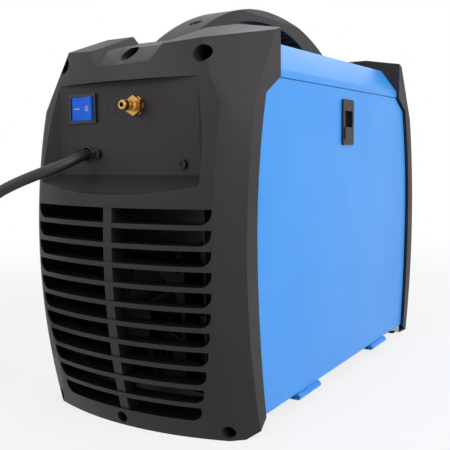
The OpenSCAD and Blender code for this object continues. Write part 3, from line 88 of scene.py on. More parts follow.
class NodeBench:
    """Adds nodes to one node tree and wires them."""

    def __init__(self, tree: NodeTree) -> None:
        """Keeps the tree that the nodes go into."""
        self.tree = tree
        self.count = 0

    def add(self, kind: str, feeds: Mapping[str | int, object] | None = None, **settings: object) -> Node:
        """Adds a node, sets its plain properties and feeds its inputs.

        Args:
            kind: Blender's name of the node type.
            feeds: Values or sockets by the input's label or number.
            settings: Property values by name.

        Returns:
            The new node.
        """
        node = self.tree.nodes.new(kind)
        node.location = (180 * (self.count % 8), -220 * (self.count // 8))
        self.count += 1
        for key, value in settings.items():
            setattr(node, key, value)
        for key, value in (feeds or {}).items():
            self.feed(node.inputs[key], value)
        return node

    def feed(self, target: Socket, value: object) -> None:
        """Links a socket to target, or sets target to a plain value."""
        if isinstance(value, Socket):
            self.tree.links.new(value, target)
        elif isinstance(value, tuple) and len(value) == 3 and target.type == "RGBA":
            target.default_value = (*value, 1.0)
        else:
            target.default_value = value

    def place(self) -> Socket:
        """Coordinates in metres, fixed to the piece."""
        return self.add("ShaderNodeTexCoord").outputs["Object"]

    def facing(self) -> Socket:
        """The surface's normal, fixed to the piece."""
        return self.add("ShaderNodeTexCoord").outputs["Normal"]

    def maths(self, operation: str, a: object, b: object, clamp: bool = False) -> Socket:
        """A Math node's result, held between 0 and 1 where clamp is set."""
        return self.add("ShaderNodeMath", {0: a, 1: b}, operation=operation, use_clamp=clamp).outputs[0]

    def times(self, a: object, b: object, clamp: bool = False) -> Socket:
        """The product of two values."""
        return self.maths("MULTIPLY", a, b, clamp)

    def per(self, size: object) -> Socket:
        """The texture scale for a grain of that size."""
        return self.maths("DIVIDE", 1.0, size)

    def mean(self, a: object, b: object, share: float) -> Socket:
        """The mean of two values, with that share of the first."""
        return self.maths("ADD", self.times(a, share), self.times(b, 1.0 - share))

    def split(self, vector: object) -> Sequence[Socket]:
        """The X, Y and Z of a vector."""
        return self.add("ShaderNodeSeparateXYZ", {0: vector}).outputs

    def dot(self, a: object, b: object) -> Socket:
        """The dot product of two vectors."""
        return self.add("ShaderNodeVectorMath", {0: a, 1: b}, operation="DOT_PRODUCT").outputs["Value"]

    def blend(self, amount: object, a: object, b: object) -> Socket:
        """Colour a with that amount of colour b over it."""
        return self.add("ShaderNodeMix", {"Factor": amount, 6: a, 7: b}, data_type="RGBA").outputs[2]

    def noise(self, vector: object, scale: object, detail: float, rough: float) -> Socket:
        """A Noise Texture's factor."""
        feeds = {"Vector": vector, "Scale": scale, "Detail": detail, "Roughness": rough}
        return self.add("ShaderNodeTexNoise", feeds).outputs[0]

    def cells(self, vector: object, scale: object, **settings: object) -> Node:
        """A Voronoi Texture with that many cells per metre."""
        return self.add("ShaderNodeTexVoronoi", {"Vector": vector, "Scale": scale}, **settings)

    def remap(self, value: object, ends: Sequence[object], **settings: object) -> Socket:
        """A value taken from one range onto another, whose ends follow the first's."""
        feeds = dict(zip(("Value", "From Min", "From Max", "To Min", "To Max"), (value, *ends)))
        return self.add("ShaderNodeMapRange", feeds, **settings).outputs[0]

    def spread(self, value: object, low: object, high: object) -> Socket:
        """A noise's usual span taken onto low to high."""
        return self.remap(value, (*NOISE_SPAN, low, high))

    def bump(self, height: object, depth: object) -> Socket:
        """A Bump node's normal."""
        return self.add("ShaderNodeBump", {"Height": height, "Distance": depth}).outputs[0]


FLOAT, COLOUR, VECTOR = "NodeSocketFloat", "NodeSocketColor", "NodeSocketVector"
SURFACE_INPUTS = (("Colour", COLOUR, (0.5, 0.5, 0.5)), ("Shade", COLOUR, (0.4, 0.4, 0.4)),
                  ("Smooth", FLOAT, 0.4), ("Rough", FLOAT, 0.6), ("Depth", FLOAT, 0.02 * MM))
SURFACE_OUTPUTS = (("Colour", COLOUR), ("Roughness", FLOAT), ("Normal", VECTOR))


class EffectGroup(NodeBench):
    """A shader node group under construction, with its sockets by label."""

    def __init__(self, name: str, inputs: Sequence[tuple],
                 outputs: Sequence[tuple] = SURFACE_OUTPUTS) -> None:
        """Starts the group.

        Args:
            name: The group's name.
            inputs: Label, socket type and default of each input.
            outputs: Label and socket type of each output.
        """
        super().__init__(bpy.data.node_groups.new(name, "ShaderNodeTree"))
        for label, kind, default in inputs:
            made = self.tree.interface.new_socket(name=label, in_out="INPUT", socket_type=kind)
            made.default_value = (*default, 1.0) if isinstance(default, tuple) else default
        for label, kind in outputs:
            self.tree.interface.new_socket(name=label, in_out="OUTPUT", socket_type=kind)
        self.given = {socket.name: socket for socket in self.add("NodeGroupInput").outputs}
        self.made = {socket.name: socket for socket in self.add("NodeGroupOutput").inputs}

    def surface(self, tone: Socket, height: Socket) -> NodeTree:
        """Feeds a surface's outputs.

        Args:
            tone: What turns Colour into Shade and Smooth into Rough.
            height: What the normal is bumped by.

        Returns:
            The finished group.
        """
        given = self.given
        shaded = self.blend(self.spread(tone, 0.0, 1.0), given["Colour"], given["Shade"])
        self.feed(self.made["Colour"], shaded)
        self.feed(self.made["Roughness"], self.spread(tone, given["Smooth"], given["Rough"]))
        self.feed(self.made["Normal"], self.bump(height, given["Depth"]))
        return self.tree

    def mask(self, strength: Socket) -> NodeTree:
        """Feeds a mask's output with strength times Amount, and returns the group."""
        self.feed(self.made["Mask"], self.times(strength, self.given["Amount"], clamp=True))
        return self.tree


@dataclass
class EffectLibrary:
    """The effects that several finishes share, each built once as a node group."""

    groups: dict[str, NodeTree] = field(default_factory=dict)

    def get(self, name: str) -> NodeTree:
        """Returns the group of that name, building it on first use."""
        if name not in self.groups:
            self.groups[name] = getattr(self, f"build_{name}")()
        return self.groups[name]

    def build_grain(self) -> NodeTree:
        """Fine cast or moulded grain, with a slow cloud over it."""
        own = (("Grain size", FLOAT, 0.5 * MM), ("Cloud size", FLOAT, 80 * MM))
        bench = EffectGroup("Surface grain", (*SURFACE_INPUTS, *own))
        place = bench.place()
        cloud = bench.noise(place, bench.per(bench.given["Cloud size"]), 3.0, 0.55)
        scale = bench.per(bench.given["Grain size"])
        fine = bench.noise(place, scale, 2.0, 0.6)
        cells = bench.cells(place, bench.times(scale, 0.7))
        height = bench.maths("ADD", bench.times(fine, 0.6), bench.times(cells.outputs[0], 0.6))
        return bench.surface(bench.mean(cloud, fine, 0.7), height)

    def build_wear(self) -> NodeTree:
        """Mask of outer edges, broken up by noise, where a finish rubs lighter and a highlight is painted."""
        inputs = (("Radius", FLOAT, 1.2 * MM), ("Amount", FLOAT, 0.5), ("Patch size", FLOAT, 20 * MM))
        bench = EffectGroup("Edge wear", inputs, (("Mask", FLOAT),))
        rounded = bench.add("ShaderNodeBevel", {"Radius": bench.given["Radius"]}, samples=4).outputs[0]
        true = bench.add("ShaderNodeNewGeometry").outputs["Normal"]
        turn = bench.times(bench.maths("SUBTRACT", 1.0, bench.dot(rounded, true)), 6.0, clamp=True)
        patch = bench.noise(bench.place(), bench.per(bench.given["Patch size"]), 3.0, 0.6)
        return bench.mask(bench.times(turn, bench.spread(patch, 0.2, 1.0)))

    def build_dust(self) -> NodeTree:
        """Mask of thin dust that settles on faces that look up."""
        inputs = (("Amount", FLOAT, 0.2), ("Patch size", FLOAT, 50 * MM))
        bench = EffectGroup("Settled dust", inputs, (("Mask", FLOAT),))
        up = bench.split(bench.add("ShaderNodeNewGeometry").outputs["Normal"])[2]
        top = bench.maths("POWER", bench.maths("MAXIMUM", up, 0.0), 2.0)
        patch = bench.noise(bench.place(), bench.per(bench.given["Patch size"]), 4.0, 0.6)
        return bench.mask(bench.times(top, bench.spread(patch, 0.1, 1.0)))

    def build_lines(self) -> NodeTree:
        """Tool marks: noise stretched into fine lines by the given scales, over a faint stain."""
        own = (("Scale X", FLOAT, 2000.0), ("Scale Y", FLOAT, 20.0), ("Scale Z", FLOAT, 20.0))
        bench = EffectGroup("Tool lines", (*SURFACE_INPUTS, *own))
        spot = bench.split(bench.place())
        join = bench.add("ShaderNodeCombineXYZ",
                         {k: bench.times(spot[k], bench.given["Scale " + "XYZ"[k]]) for k in range(3)})
        lines = bench.noise(join.outputs[0], 1.0, 3.0, 0.6)
        stain = bench.noise(bench.place(), 45.0, 3.0, 0.5)
        return bench.surface(bench.mean(lines, stain, 0.55), lines)


EFFECTS = EffectLibrary()


@dataclass
class MaterialBench:
    """One material under construction: its bench and its surface shader."""

    name: str

    def __post_init__(self) -> None:
        """Makes the material with a fresh surface shader."""
        self.material = bpy.data.materials.new(self.name)
        self.material.use_nodes = True
        self.bench = NodeBench(self.material.node_tree)
        self.shader = self.material.node_tree.nodes["Principled BSDF"]

    def effect(self, name: str, **values: object) -> Node:
        """Places a shared effect with its own values.

        Args:
            name: The effect's name in the library.
            values: Input values by label, with underscores for blanks.

        Returns:
            The group's node.
        """
        feeds = {key.replace("_", " "): value for key, value in values.items()}
        return self.bench.add("ShaderNodeGroup", feeds, node_tree=EFFECTS.get(name))

    def set(self, **values: object) -> None:
        """Sets or links the surface shader's sockets, with underscores for blanks."""
        for key, value in values.items():
            self.bench.feed(self.shader.inputs[key.replace("_", " ")], value)

    def done(self, base: Node, **values: object) -> Material:
        """Sets values over the base effect's roughness and normal, and returns the material."""
        self.set(**{label: base.outputs[label] for label in ("Roughness", "Normal")} | values)
        return self.material


# ---------------- finishes


class ToolAxis(Enum):
    """Axis that tool marks or turned rings vary along."""

    X = (1900.0, 14.0, 14.0)
    Y = (14.0, 1900.0, 14.0)
    Z = (14.0, 14.0, 1900.0)


@dataclass(frozen=True)
class GrainedFinish:
    """Moulded plastic, rubber or coated sheet: grain, faint clouds, rubbed edges with painted highlight, a
    little dust.
    """

    name: str
    colour: Colour
    shade: Colour
    grain: float = 0.6 * MM
    depth: float = 0.03 * MM
    smooth: float = 0.42
    rough: float = 0.58
    cloud: float = 0.09
    edge: Colour = (0.3, 0.3, 0.3)
    edge_amount: float = 0.25
    edge_radius: float = 1.0 * MM
    dust: float = 0.10
    coat: float = 0.0
    coat_rough: float = 0.3
    specular: float = 0.5
    # Where set, painted shade on the faces that look into the case.
    inside_shade: Colour | None = None
    # Where set, painted shade on the fins' level faces between the louvre slots.
    fin_shade: Colour | None = None
    fin_shade_span: ClassVar[tuple[float, float]] = (10 * MM, 206 * MM)
    level: ClassVar[float] = 0.75
    middle_height: ClassVar[float] = 170 * MM
    inner_reach: ClassVar[float] = -30 * MM
    dust_colour: ClassVar[Colour] = (0.42, 0.40, 0.36)

    def fin_shade_mask(self, bench: NodeBench) -> Socket:
        """1 on the level faces of the fins between the slots, where shade is painted, 0 on the rest."""
        height = bench.split(bench.place())[2]
        up = bench.split(bench.facing())[2]
        low, high = self.fin_shade_span
        within = bench.times(bench.maths("GREATER_THAN", height, low), bench.maths("LESS_THAN", height, high))
        return bench.times(bench.maths("GREATER_THAN", bench.maths("ABSOLUTE", up, 0.0), self.level), within)

    def inward(self, bench: NodeBench) -> Socket:
        """1 on faces that look towards the case's middle line, where shade is painted, 0 on the others."""
        spot = bench.split(bench.place())
        facing = bench.split(bench.facing())
        height = bench.times(bench.maths("SUBTRACT", spot[2], self.middle_height), facing[2])
        reach = bench.maths("ADD", bench.times(spot[0], facing[0]), height)
        return bench.maths("LESS_THAN", reach, self.inner_reach)

    def build(self) -> Material:
        """Builds the material."""
        work = MaterialBench(self.name)
        bench = work.bench
        grain = work.effect("grain", Colour=self.colour, Shade=self.shade, Grain_size=self.grain,
                            Depth=self.depth, Smooth=self.smooth, Rough=self.rough, Cloud_size=self.cloud)
        wear = work.effect("wear", Radius=self.edge_radius, Amount=self.edge_amount)
        dust = work.effect("dust", Amount=self.dust)
        # Edge colour over the grain: rubbed wear with painted highlight, as edges catch light.
        worn_and_painted_light = bench.blend(wear.outputs["Mask"], grain.outputs["Colour"], self.edge)
        # Painted shade: faces that look into the case are darkened as if in shadow.
        if self.inside_shade is not None:
            worn_and_painted_light = bench.blend(self.inward(bench), worn_and_painted_light, self.inside_shade)
        # Painted shade: the fins' level faces between the slots are darkened as if in shadow.
        if self.fin_shade is not None:
            worn_and_painted_light = bench.blend(self.fin_shade_mask(bench), worn_and_painted_light, self.fin_shade)
        dust_over_painted_light = bench.blend(dust.outputs["Mask"], worn_and_painted_light, self.dust_colour)
        return work.done(grain, Base_Color=dust_over_painted_light, Coat_Weight=self.coat, Coat_Roughness=self.coat_rough,
                         Specular_IOR_Level=self.specular)


@dataclass(frozen=True)
class TurnedFinish:
    """Bare or plated metal with tool marks and slight staining."""

    name: str
    colour: Colour
    shade: Colour
    axis: ToolAxis
    smooth: float
    rough: float
    depth: ClassVar[float] = 0.004 * MM

    def build(self) -> Material:
        """Builds the material."""
        work = MaterialBench(self.name)
        x, y, z = self.axis.value
        lines = work.effect("lines", Scale_X=x, Scale_Y=y, Scale_Z=z, Depth=self.depth, Smooth=self.smooth,
                            Rough=self.rough, Colour=self.colour, Shade=self.shade)
        wear = work.effect("wear", Radius=0.5 * MM, Amount=0.5, Patch_size=0.006)
        bright = tuple(min(1.0, 1.25 * c) for c in self.colour)
        # Brighter edges: rubbed metal with painted highlight.
        rubbed_and_highlit = work.bench.blend(wear.outputs["Mask"], lines.outputs["Colour"], bright)
        return work.done(lines, Base_Color=rubbed_and_highlit, Metallic=1.0)


@dataclass(frozen=True)
class SpangledZinc:
    """Galvanised sheet: dull crystals of differing gloss with faint rolling lines, and painted shade outside
    where set.
    """

    name: str
    colour: Colour = (0.46, 0.47, 0.49)
    crystal: float = 9 * MM
    metal: float = 0.9
    outside_shade: Colour | None = None
    middle: Point = (0.0, 0.0, 0.17)

    def outward(self, bench: NodeBench) -> Socket:
        """1 on faces that look away from the middle, where shade is painted, 0 on the others."""
        arm = bench.add("ShaderNodeVectorMath", {0: bench.place(), 1: self.middle}, operation="SUBTRACT")
        return bench.maths("GREATER_THAN", bench.dot(arm.outputs[0], bench.facing()), 0.0)

    def build(self) -> Material:
        """Builds the material."""
        work = MaterialBench(self.name)
        bench = work.bench
        cells = bench.cells(bench.place(), 1 / self.crystal)
        tone = bench.add("ShaderNodeSeparateColor", {0: cells.outputs["Color"]})
        pale = tuple(1.25 * c for c in self.colour)
        lines = work.effect("lines", Scale_X=18.0, Scale_Y=900.0, Scale_Z=18.0, Depth=0.002 * MM,
                            Colour=self.colour, Shade=pale, Smooth=0.3, Rough=0.5)
        spangle_and_shade = bench.blend(bench.times(tone.outputs[0], 0.35), lines.outputs["Colour"], pale)
        metal = self.metal
        # Painted shade: outward faces turn near-black, as the inside of the case lies in shadow.
        if self.outside_shade is not None:
            painted_shade_side = self.outward(bench)
            spangle_and_shade = bench.blend(painted_shade_side, spangle_and_shade, self.outside_shade)
            metal = bench.times(bench.maths("SUBTRACT", 1.0, painted_shade_side), metal)
        return work.done(lines, Base_Color=spangle_and_shade, Roughness=bench.spread(tone.outputs[1], 0.34, 0.5),
                         Metallic=metal)


@dataclass(frozen=True)
class WoundCopper:
    """Enamelled wire laid side by side, as ridges along one axis, with painted shade in the grooves."""

    name: str = "wound_copper"
    colour: Colour = srgb(176, 96, 48)
    wire: float = 1.6 * MM
    depth: float = 0.4 * MM

    def build(self) -> Material:
        """Builds the material."""
        work = MaterialBench(self.name)
        bench = work.bench
        feeds = {"Vector": bench.place(), "Scale": 1 / self.wire / 3.14, "Distortion": 0.3}
        ridge = bench.add("ShaderNodeTexWave", feeds, bands_direction="Z").outputs["Fac"]
        dark = tuple(0.35 * c for c in self.colour)
        grain = work.effect("grain", Colour=self.colour, Shade=dark, Grain_size=0.4 * MM)
        # Painted shade: the grooves between the wires are darkened as if in shadow.
        return work.done(grain, Base_Color=bench.blend(ridge, dark, grain.outputs["Colour"]), Metallic=0.6,
                         Normal=bench.bump(ridge, self.depth))


@dataclass(frozen=True)
class PrintedBoard:
    """Circuit board: solder mask over a net of tracks."""

    name: str = "circuit_board"
    mask: Colour = srgb(12, 92, 52)
    track: Colour = srgb(38, 132, 78)
    cells: float = 160.0
    track_edge: float = 0.42
    track_height: float = 0.03 * MM

    def build(self) -> Material:
        """Builds the material."""
        work = MaterialBench(self.name)
        bench = work.bench
        cells = bench.cells(bench.place(), self.cells, distance="CHEBYCHEV", feature="F1")
        grain = work.effect("grain", Colour=self.mask, Shade=tuple(0.8 * c for c in self.mask), Smooth=0.2,
                            Rough=0.4)
        edge = bench.maths("GREATER_THAN", cells.outputs["Distance"], self.track_edge)
        return work.done(grain, Base_Color=bench.blend(edge, grain.outputs["Colour"], self.track),
                         Normal=bench.bump(edge, self.track_height))


@dataclass(frozen=True)
class GlowingDigits:
    """Lit segments of a display, uneven along each segment."""

    name: str = "lit_digit"
    colour: Colour = srgb(255, 70, 50)

    def build(self) -> Material:
        """Builds the material."""
        work = MaterialBench(self.name)
        grain = work.effect("grain", Colour=self.colour, Shade=tuple(0.7 * c for c in self.colour),
                            Cloud_size=0.004)
        tone = grain.outputs["Colour"]
        work.set(Base_Color=tone, Emission_Color=tone, Emission_Strength=0.8, Roughness=0.4)
        return work.material


# Each finish's edge colour is rubbed wear with painted highlight.
PANEL = {"colour": srgb(39, 35, 37), "shade": srgb(34, 30, 32), "grain": 0.55 * MM, "depth": 0.035 * MM,
         "smooth": 0.40, "rough": 0.56, "specular": 0.32}
SHEET = {"grain": 0.9 * MM, "depth": 0.012 * MM, "smooth": 0.36, "rough": 0.46, "edge": srgb(140, 200, 255),
         "dust": 0.02, "specular": 0.35}
FINISHES = {
    finish.name: finish
    for finish in (
        GrainedFinish("moulded_black", edge=srgb(84, 80, 84), edge_amount=0.30, dust=0.02, **PANEL),
        # louvred_black paints shade onto the fins between the louvre slots.
        GrainedFinish("louvred_black", edge=srgb(88, 84, 88), edge_amount=0.34, dust=0.0,
                      fin_shade=srgb(15, 15, 17), **PANEL),
        # blue_coat paints shade onto the inside faces of the cover and door.
        GrainedFinish("blue_coat", srgb(64, 160, 247), srgb(57, 151, 240), edge_amount=0.5,
                      edge_radius=0.8 * MM, coat=0.12, inside_shade=srgb(30, 31, 34), **SHEET),
        GrainedFinish("hinge_blue", srgb(60, 156, 244), srgb(52, 146, 236), edge_amount=0.4, **SHEET),
        # Darker blue for the hinge pins: painted shade of the gap between the knuckles.
        GrainedFinish("hinge_pin_shade", srgb(38, 104, 176), srgb(30, 88, 156), edge_amount=0.4, **SHEET),
        # Fan parts darker than plain black plastic: painted shade inside the case.
        GrainedFinish("shadow_painted_black", srgb(17, 17, 19), srgb(13, 13, 15), grain=0.5 * MM, depth=0.02 * MM,
                      smooth=0.5, rough=0.66, edge=srgb(34, 34, 36), edge_amount=0.2, dust=0.01,
                      specular=0.2),
        GrainedFinish("fitting_black", srgb(34, 34, 36), srgb(26, 26, 28), grain=0.4 * MM, depth=0.015 * MM,
                      smooth=0.30, rough=0.46, edge=srgb(88, 86, 84), edge_amount=0.35, dust=0.05),
        GrainedFinish("rocker_blue", srgb(24, 116, 255), srgb(18, 108, 250), grain=0.7 * MM, depth=0.006 * MM,
                      smooth=0.34, rough=0.44, edge=srgb(90, 160, 255), edge_amount=0.4, edge_radius=0.5 * MM,
                      dust=0.0, specular=0.25),
        GrainedFinish("mark_white", srgb(196, 204, 214), srgb(184, 192, 204), smooth=0.4, rough=0.5,
                      dust=0.0),
        GrainedFinish("cable_rubber", srgb(22, 23, 26), srgb(17, 18, 21), grain=0.5 * MM, depth=0.02 * MM,
                      smooth=0.40, rough=0.60, edge=srgb(60, 60, 62), edge_amount=0.1, dust=0.08),
        GrainedFinish("board_part", srgb(24, 24, 28), srgb(34, 34, 38), smooth=0.3, rough=0.5, dust=0.05),
        GrainedFinish("motor_coat", srgb(120, 122, 126), srgb(104, 106, 112), grain=0.8 * MM,
                      smooth=0.35, rough=0.5, edge=srgb(190, 190, 192), edge_amount=0.5),
        GrainedFinish("can_sleeve", srgb(30, 36, 66), srgb(24, 30, 58), smooth=0.2, rough=0.3, dust=0.03),
        GrainedFinish("retainer_red", srgb(188, 44, 34), srgb(170, 38, 30), depth=0.015 * MM, smooth=0.3,
                      rough=0.45, edge=srgb(220, 110, 100), edge_amount=0.4, dust=0.03),
        GrainedFinish("smoked_window", srgb(18, 16, 20), srgb(14, 13, 16), grain=2 * MM, depth=0.002 * MM,
                      smooth=0.06, rough=0.12, dust=0.0, edge_amount=0.1, coat=0.5, coat_rough=0.05),
        TurnedFinish("turned_brass", srgb(214, 172, 100), srgb(168, 124, 66), ToolAxis.Y, 0.20, 0.34),
        TurnedFinish("cable_brass", srgb(206, 168, 100), srgb(180, 138, 76), ToolAxis.Y, 0.16, 0.3),
        TurnedFinish("turned_steel", srgb(176, 178, 182), srgb(148, 150, 156), ToolAxis.X, 0.16, 0.32),
        TurnedFinish("dark_screw", srgb(60, 60, 62), srgb(40, 40, 42), ToolAxis.X, 0.28, 0.42),
        TurnedFinish("extruded_alloy", srgb(186, 188, 192), srgb(160, 162, 168), ToolAxis.Z, 0.25, 0.42),
        TurnedFinish("spring_steel", srgb(190, 190, 194), srgb(150, 150, 156), ToolAxis.Z, 0.12, 0.25),
        SpangledZinc("zinc_sheet"),
        # Tray and divider: painted shade on their outward faces.
        SpangledZinc("shade_painted_tray", outside_shade=srgb(32, 31, 33)),
        SpangledZinc("shade_painted_divider", outside_shade=srgb(20, 20, 22), middle=(-0.3, 0.0, 0.17)),
        WoundCopper(),
        PrintedBoard(),
        GlowingDigits(),
    )
}


class Paintbox:
    """Builds each finish once, on first use."""

    def __init__(self) -> None:
        """Starts with no material."""
        self.made: dict[str, Material] = {}

    def get(self, name: str) -> Material:
        """The material of that finish."""
        if name not in self.made:
            self.made[name] = FINISHES[name].build()
        return self.made[name]


# ---------------- mesh helpers


class MeshShop:
    """Makes meshes for the scene's own pieces, in millimetres, and hands them over in metres."""

    def __init__(self, paint: Paintbox) -> None:
        """Keeps the paintbox that the pieces are finished from."""
        self.paint = paint

    def hand_over(self, name: str, mesh: Mesh, finish: str, body: str, slot: str,
                  smooth: float = 40.0, bevel: float = 0.0) -> Object:
        """Turns a mesh in millimetres into a finished piece that rides on a body.

        Args:
            name: The piece's name.
            mesh: Its shape.
            finish: Name of its finish.
            body: The body it rides on.
            slot: The record's material slot; not used.
            smooth: Edges flatter than this angle are shaded smooth.
            bevel: Width of the rounded edges, in millimetres.

        Returns:
            The piece.
        """
        bmesh.ops.remove_doubles(mesh, verts=mesh.verts, dist=0.001)
        bmesh.ops.recalc_face_normals(mesh, faces=mesh.faces)
        bmesh.ops.scale(mesh, vec=(MM, MM, MM), verts=mesh.verts)
        data = bpy.data.meshes.new(name)
        mesh.to_mesh(data)
        mesh.free()
        for polygon in data.polygons:
            polygon.use_smooth = True
        data.set_sharp_from_angle(angle=math.radians(smooth))
        piece = bpy.data.objects.new(name, data)
        bpy.context.scene.collection.objects.link(piece)
        data.materials.append(self.paint.get(finish))
        if bevel:
            self.round_edges(piece, bevel)
        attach(piece, body)
        LOG.info("made %s in %s", name, finish)
        return piece

    @staticmethod
    def round_edges(piece: Object, width: float, segments: int = 2, angle: float = 35.0) -> None:
        """Adds a bevel to a piece.

        Args:
            piece: Object to round.
            width: Width in millimetres.
            segments: Steps across the round.
            angle: Edges sharper than this are rounded.
        """
        rounder = piece.modifiers.new("rounded_edges", "BEVEL")
        rounder.width = width * MM
        rounder.segments = segments
        rounder.limit_method = "ANGLE"
        rounder.angle_limit = math.radians(angle)
        rounder.miter_outer = "MITER_ARC"

    @staticmethod
    def circle(steps: int) -> list[tuple[float, float]]:
        """Cosine and sine of each step round a full turn."""
        return [(math.cos(2 * math.pi * k / steps), math.sin(2 * math.pi * k / steps)) for k in range(steps)]

    @staticmethod
    def lathe(profile: Sequence[tuple[float, float]], steps: int) -> Mesh:
        """Turns a profile about Z.

        Args:
            profile: Radius and height of each point, the last the same as the first.
            steps: Segments around.

        Returns:
            The mesh of the ring.
        """
        mesh = bmesh.new()
        rings = [[mesh.verts.new((radius * c, radius * s, height)) for c, s in MeshShop.circle(steps)]
                 for radius, height in profile]
        MeshShop.skin(mesh, rings)
        return mesh

    @staticmethod
    def skin(mesh: Mesh, rings: Sequence[Sequence[bmesh.types.BMVert]]) -> None:
        """Adds the faces between rings of equally many vertices."""
        for low, high in zip(rings, rings[1:]):
            for k, start in enumerate(low):
                n = (k + 1) % len(low)
                mesh.faces.new((start, low[n], high[n], high[k]))

    @staticmethod
    def block(low: Point, high: Point) -> Mesh:
        """A box between two corners."""
        mesh = bmesh.new()
        size = [b - a for a, b in zip(low, high)]
        place = Matrix.Translation([(a + b) / 2 for a, b in zip(low, high)])
        bmesh.ops.create_cube(mesh, size=1.0, matrix=place @ Matrix.Diagonal((*size, 1.0)))
        return mesh

    @staticmethod
    def tube(points: Sequence[Point], radius: float, sides: int) -> Mesh:
        """Sweeps a round along points, with capped ends and no twist.

        Args:
            points: The centreline.
            radius: The round's radius.
            sides: Segments around.

        Returns:
            The closed mesh.
        """
        mesh = bmesh.new()
        path = [Vector(p) for p in points]
        side = None
        rings = []
        for i, point in enumerate(path):
            before = path[max(i - 1, 0)]
            after = path[min(i + 1, len(path) - 1)]
            run = (after - before).normalized()
            if side is None:
                side = run.cross(Vector((0, 0, 1)) if abs(run.z) < 0.9 else Vector((1, 0, 0))).normalized()
            side = (side - side.dot(run) * run).normalized()
            up = run.cross(side)
            rings.append([mesh.verts.new(point + radius * (c * side + s * up))
                          for c, s in MeshShop.circle(sides)])
        MeshShop.skin(mesh, rings)
        mesh.faces.new(list(reversed(rings[0])))
        mesh.faces.new(rings[-1])
        return mesh

    @staticmethod
    def merge(parts: Iterable[Mesh]) -> Mesh:
        """Joins several meshes into one, as separate shells."""
        whole = bmesh.new()
        for part in parts:
            spare = bpy.data.meshes.new("spare")
            part.to_mesh(spare)
            part.free()
            whole.from_mesh(spare)
            bpy.data.meshes.remove(spare)
        return whole

    @staticmethod
    def moved(mesh: Mesh, matrix: Matrix) -> Mesh:
        """The mesh after a move."""
        bmesh.ops.transform(mesh, matrix=matrix, verts=mesh.verts)
        return mesh


@dataclass
class FrameDresser:
    """Gives the frame's own nodes their finish and rounded edges."""

    nodes: dict[str, Object]
    paint: Paintbox
    weld: float = 0.002 * MM
    angle: float = 38.0
    area_weight: int = 80
    smoothest: tuple[str, ...] = ("rear_panel", "handle")

    def dress(self, name: str, finish: str, width: float) -> None:
        """Finishes one node.

        Args:
            name: The node.
            finish: Name of its finish.
            width: Width of its rounded edges, in millimetres, or 0 for none.
        """
        node = self.nodes[name]
        node.data.materials.clear()
        node.data.materials.append(self.paint.get(finish))
        node.modifiers.new("joined_faces", "WELD").merge_threshold = self.weld
        if width:
            MeshShop.round_edges(node, width, 3 if name in self.smoothest else 2, self.angle)
        for polygon in node.data.polygons:
            polygon.use_smooth = True
        even = node.modifiers.new("even_shading", "WEIGHTED_NORMAL")
        even.keep_sharp = True
        even.weight = self.area_weight
        LOG.info("dressed %s in %s", name, finish)


# ---------------- camera and studio


@dataclass
class ViewCamera:
    """The camera, by its place and turn in the frame of the part."""

    position: Point = (-0.3893, 0.6809, 0.2386)
    yaw: float = 2.58092385
    pitch: float = 0.104604793
    roll: float = -0.0128554155
    focal: float = 697.2
    frame_size: float = 450.0
    film: float = 36.0

    def build(self) -> None:
        """Makes the camera and makes it the scene's own."""
        level = math.cos(self.pitch)
        look = Vector((math.sin(self.yaw) * level, math.cos(self.yaw) * level, -math.sin(self.pitch)))
        flat = look.cross(Vector((0, 0, 1))).normalized()
        rise = flat.cross(look)
        right = math.cos(self.roll) * flat + math.sin(self.roll) * rise
        up = -math.sin(self.roll) * flat + math.cos(self.roll) * rise
        lens = bpy.data.cameras.new("view_camera")
        lens.sensor_width = self.film
        lens.lens = self.focal / self.frame_size * self.film
        lens.clip_start = 0.02
        camera = bpy.data.objects.new("view_camera", lens)
        bpy.context.scene.collection.objects.link(camera)
        turn = Matrix((right, up, -look)).transposed().to_4x4()
        camera.matrix_world = Matrix.Translation(self.position) @ turn
        bpy.context.scene.camera = camera


@dataclass
class Softbox:
    """One square lamp, aimed at a point."""

    name: str
    place: Point
    aim: Point
    power: float
    size: float

    def build(self) -> None:
        """Makes the lamp."""
        lamp = bpy.data.lights.new(self.name, "AREA")
        lamp.energy = self.power
        lamp.size = self.size
        holder = bpy.data.objects.new(self.name, lamp)
        holder.location = self.place
        holder.rotation_euler = (Vector(self.aim) - Vector(self.place)).to_track_quat("-Z", "Y").to_euler()
        bpy.context.scene.collection.objects.link(holder)


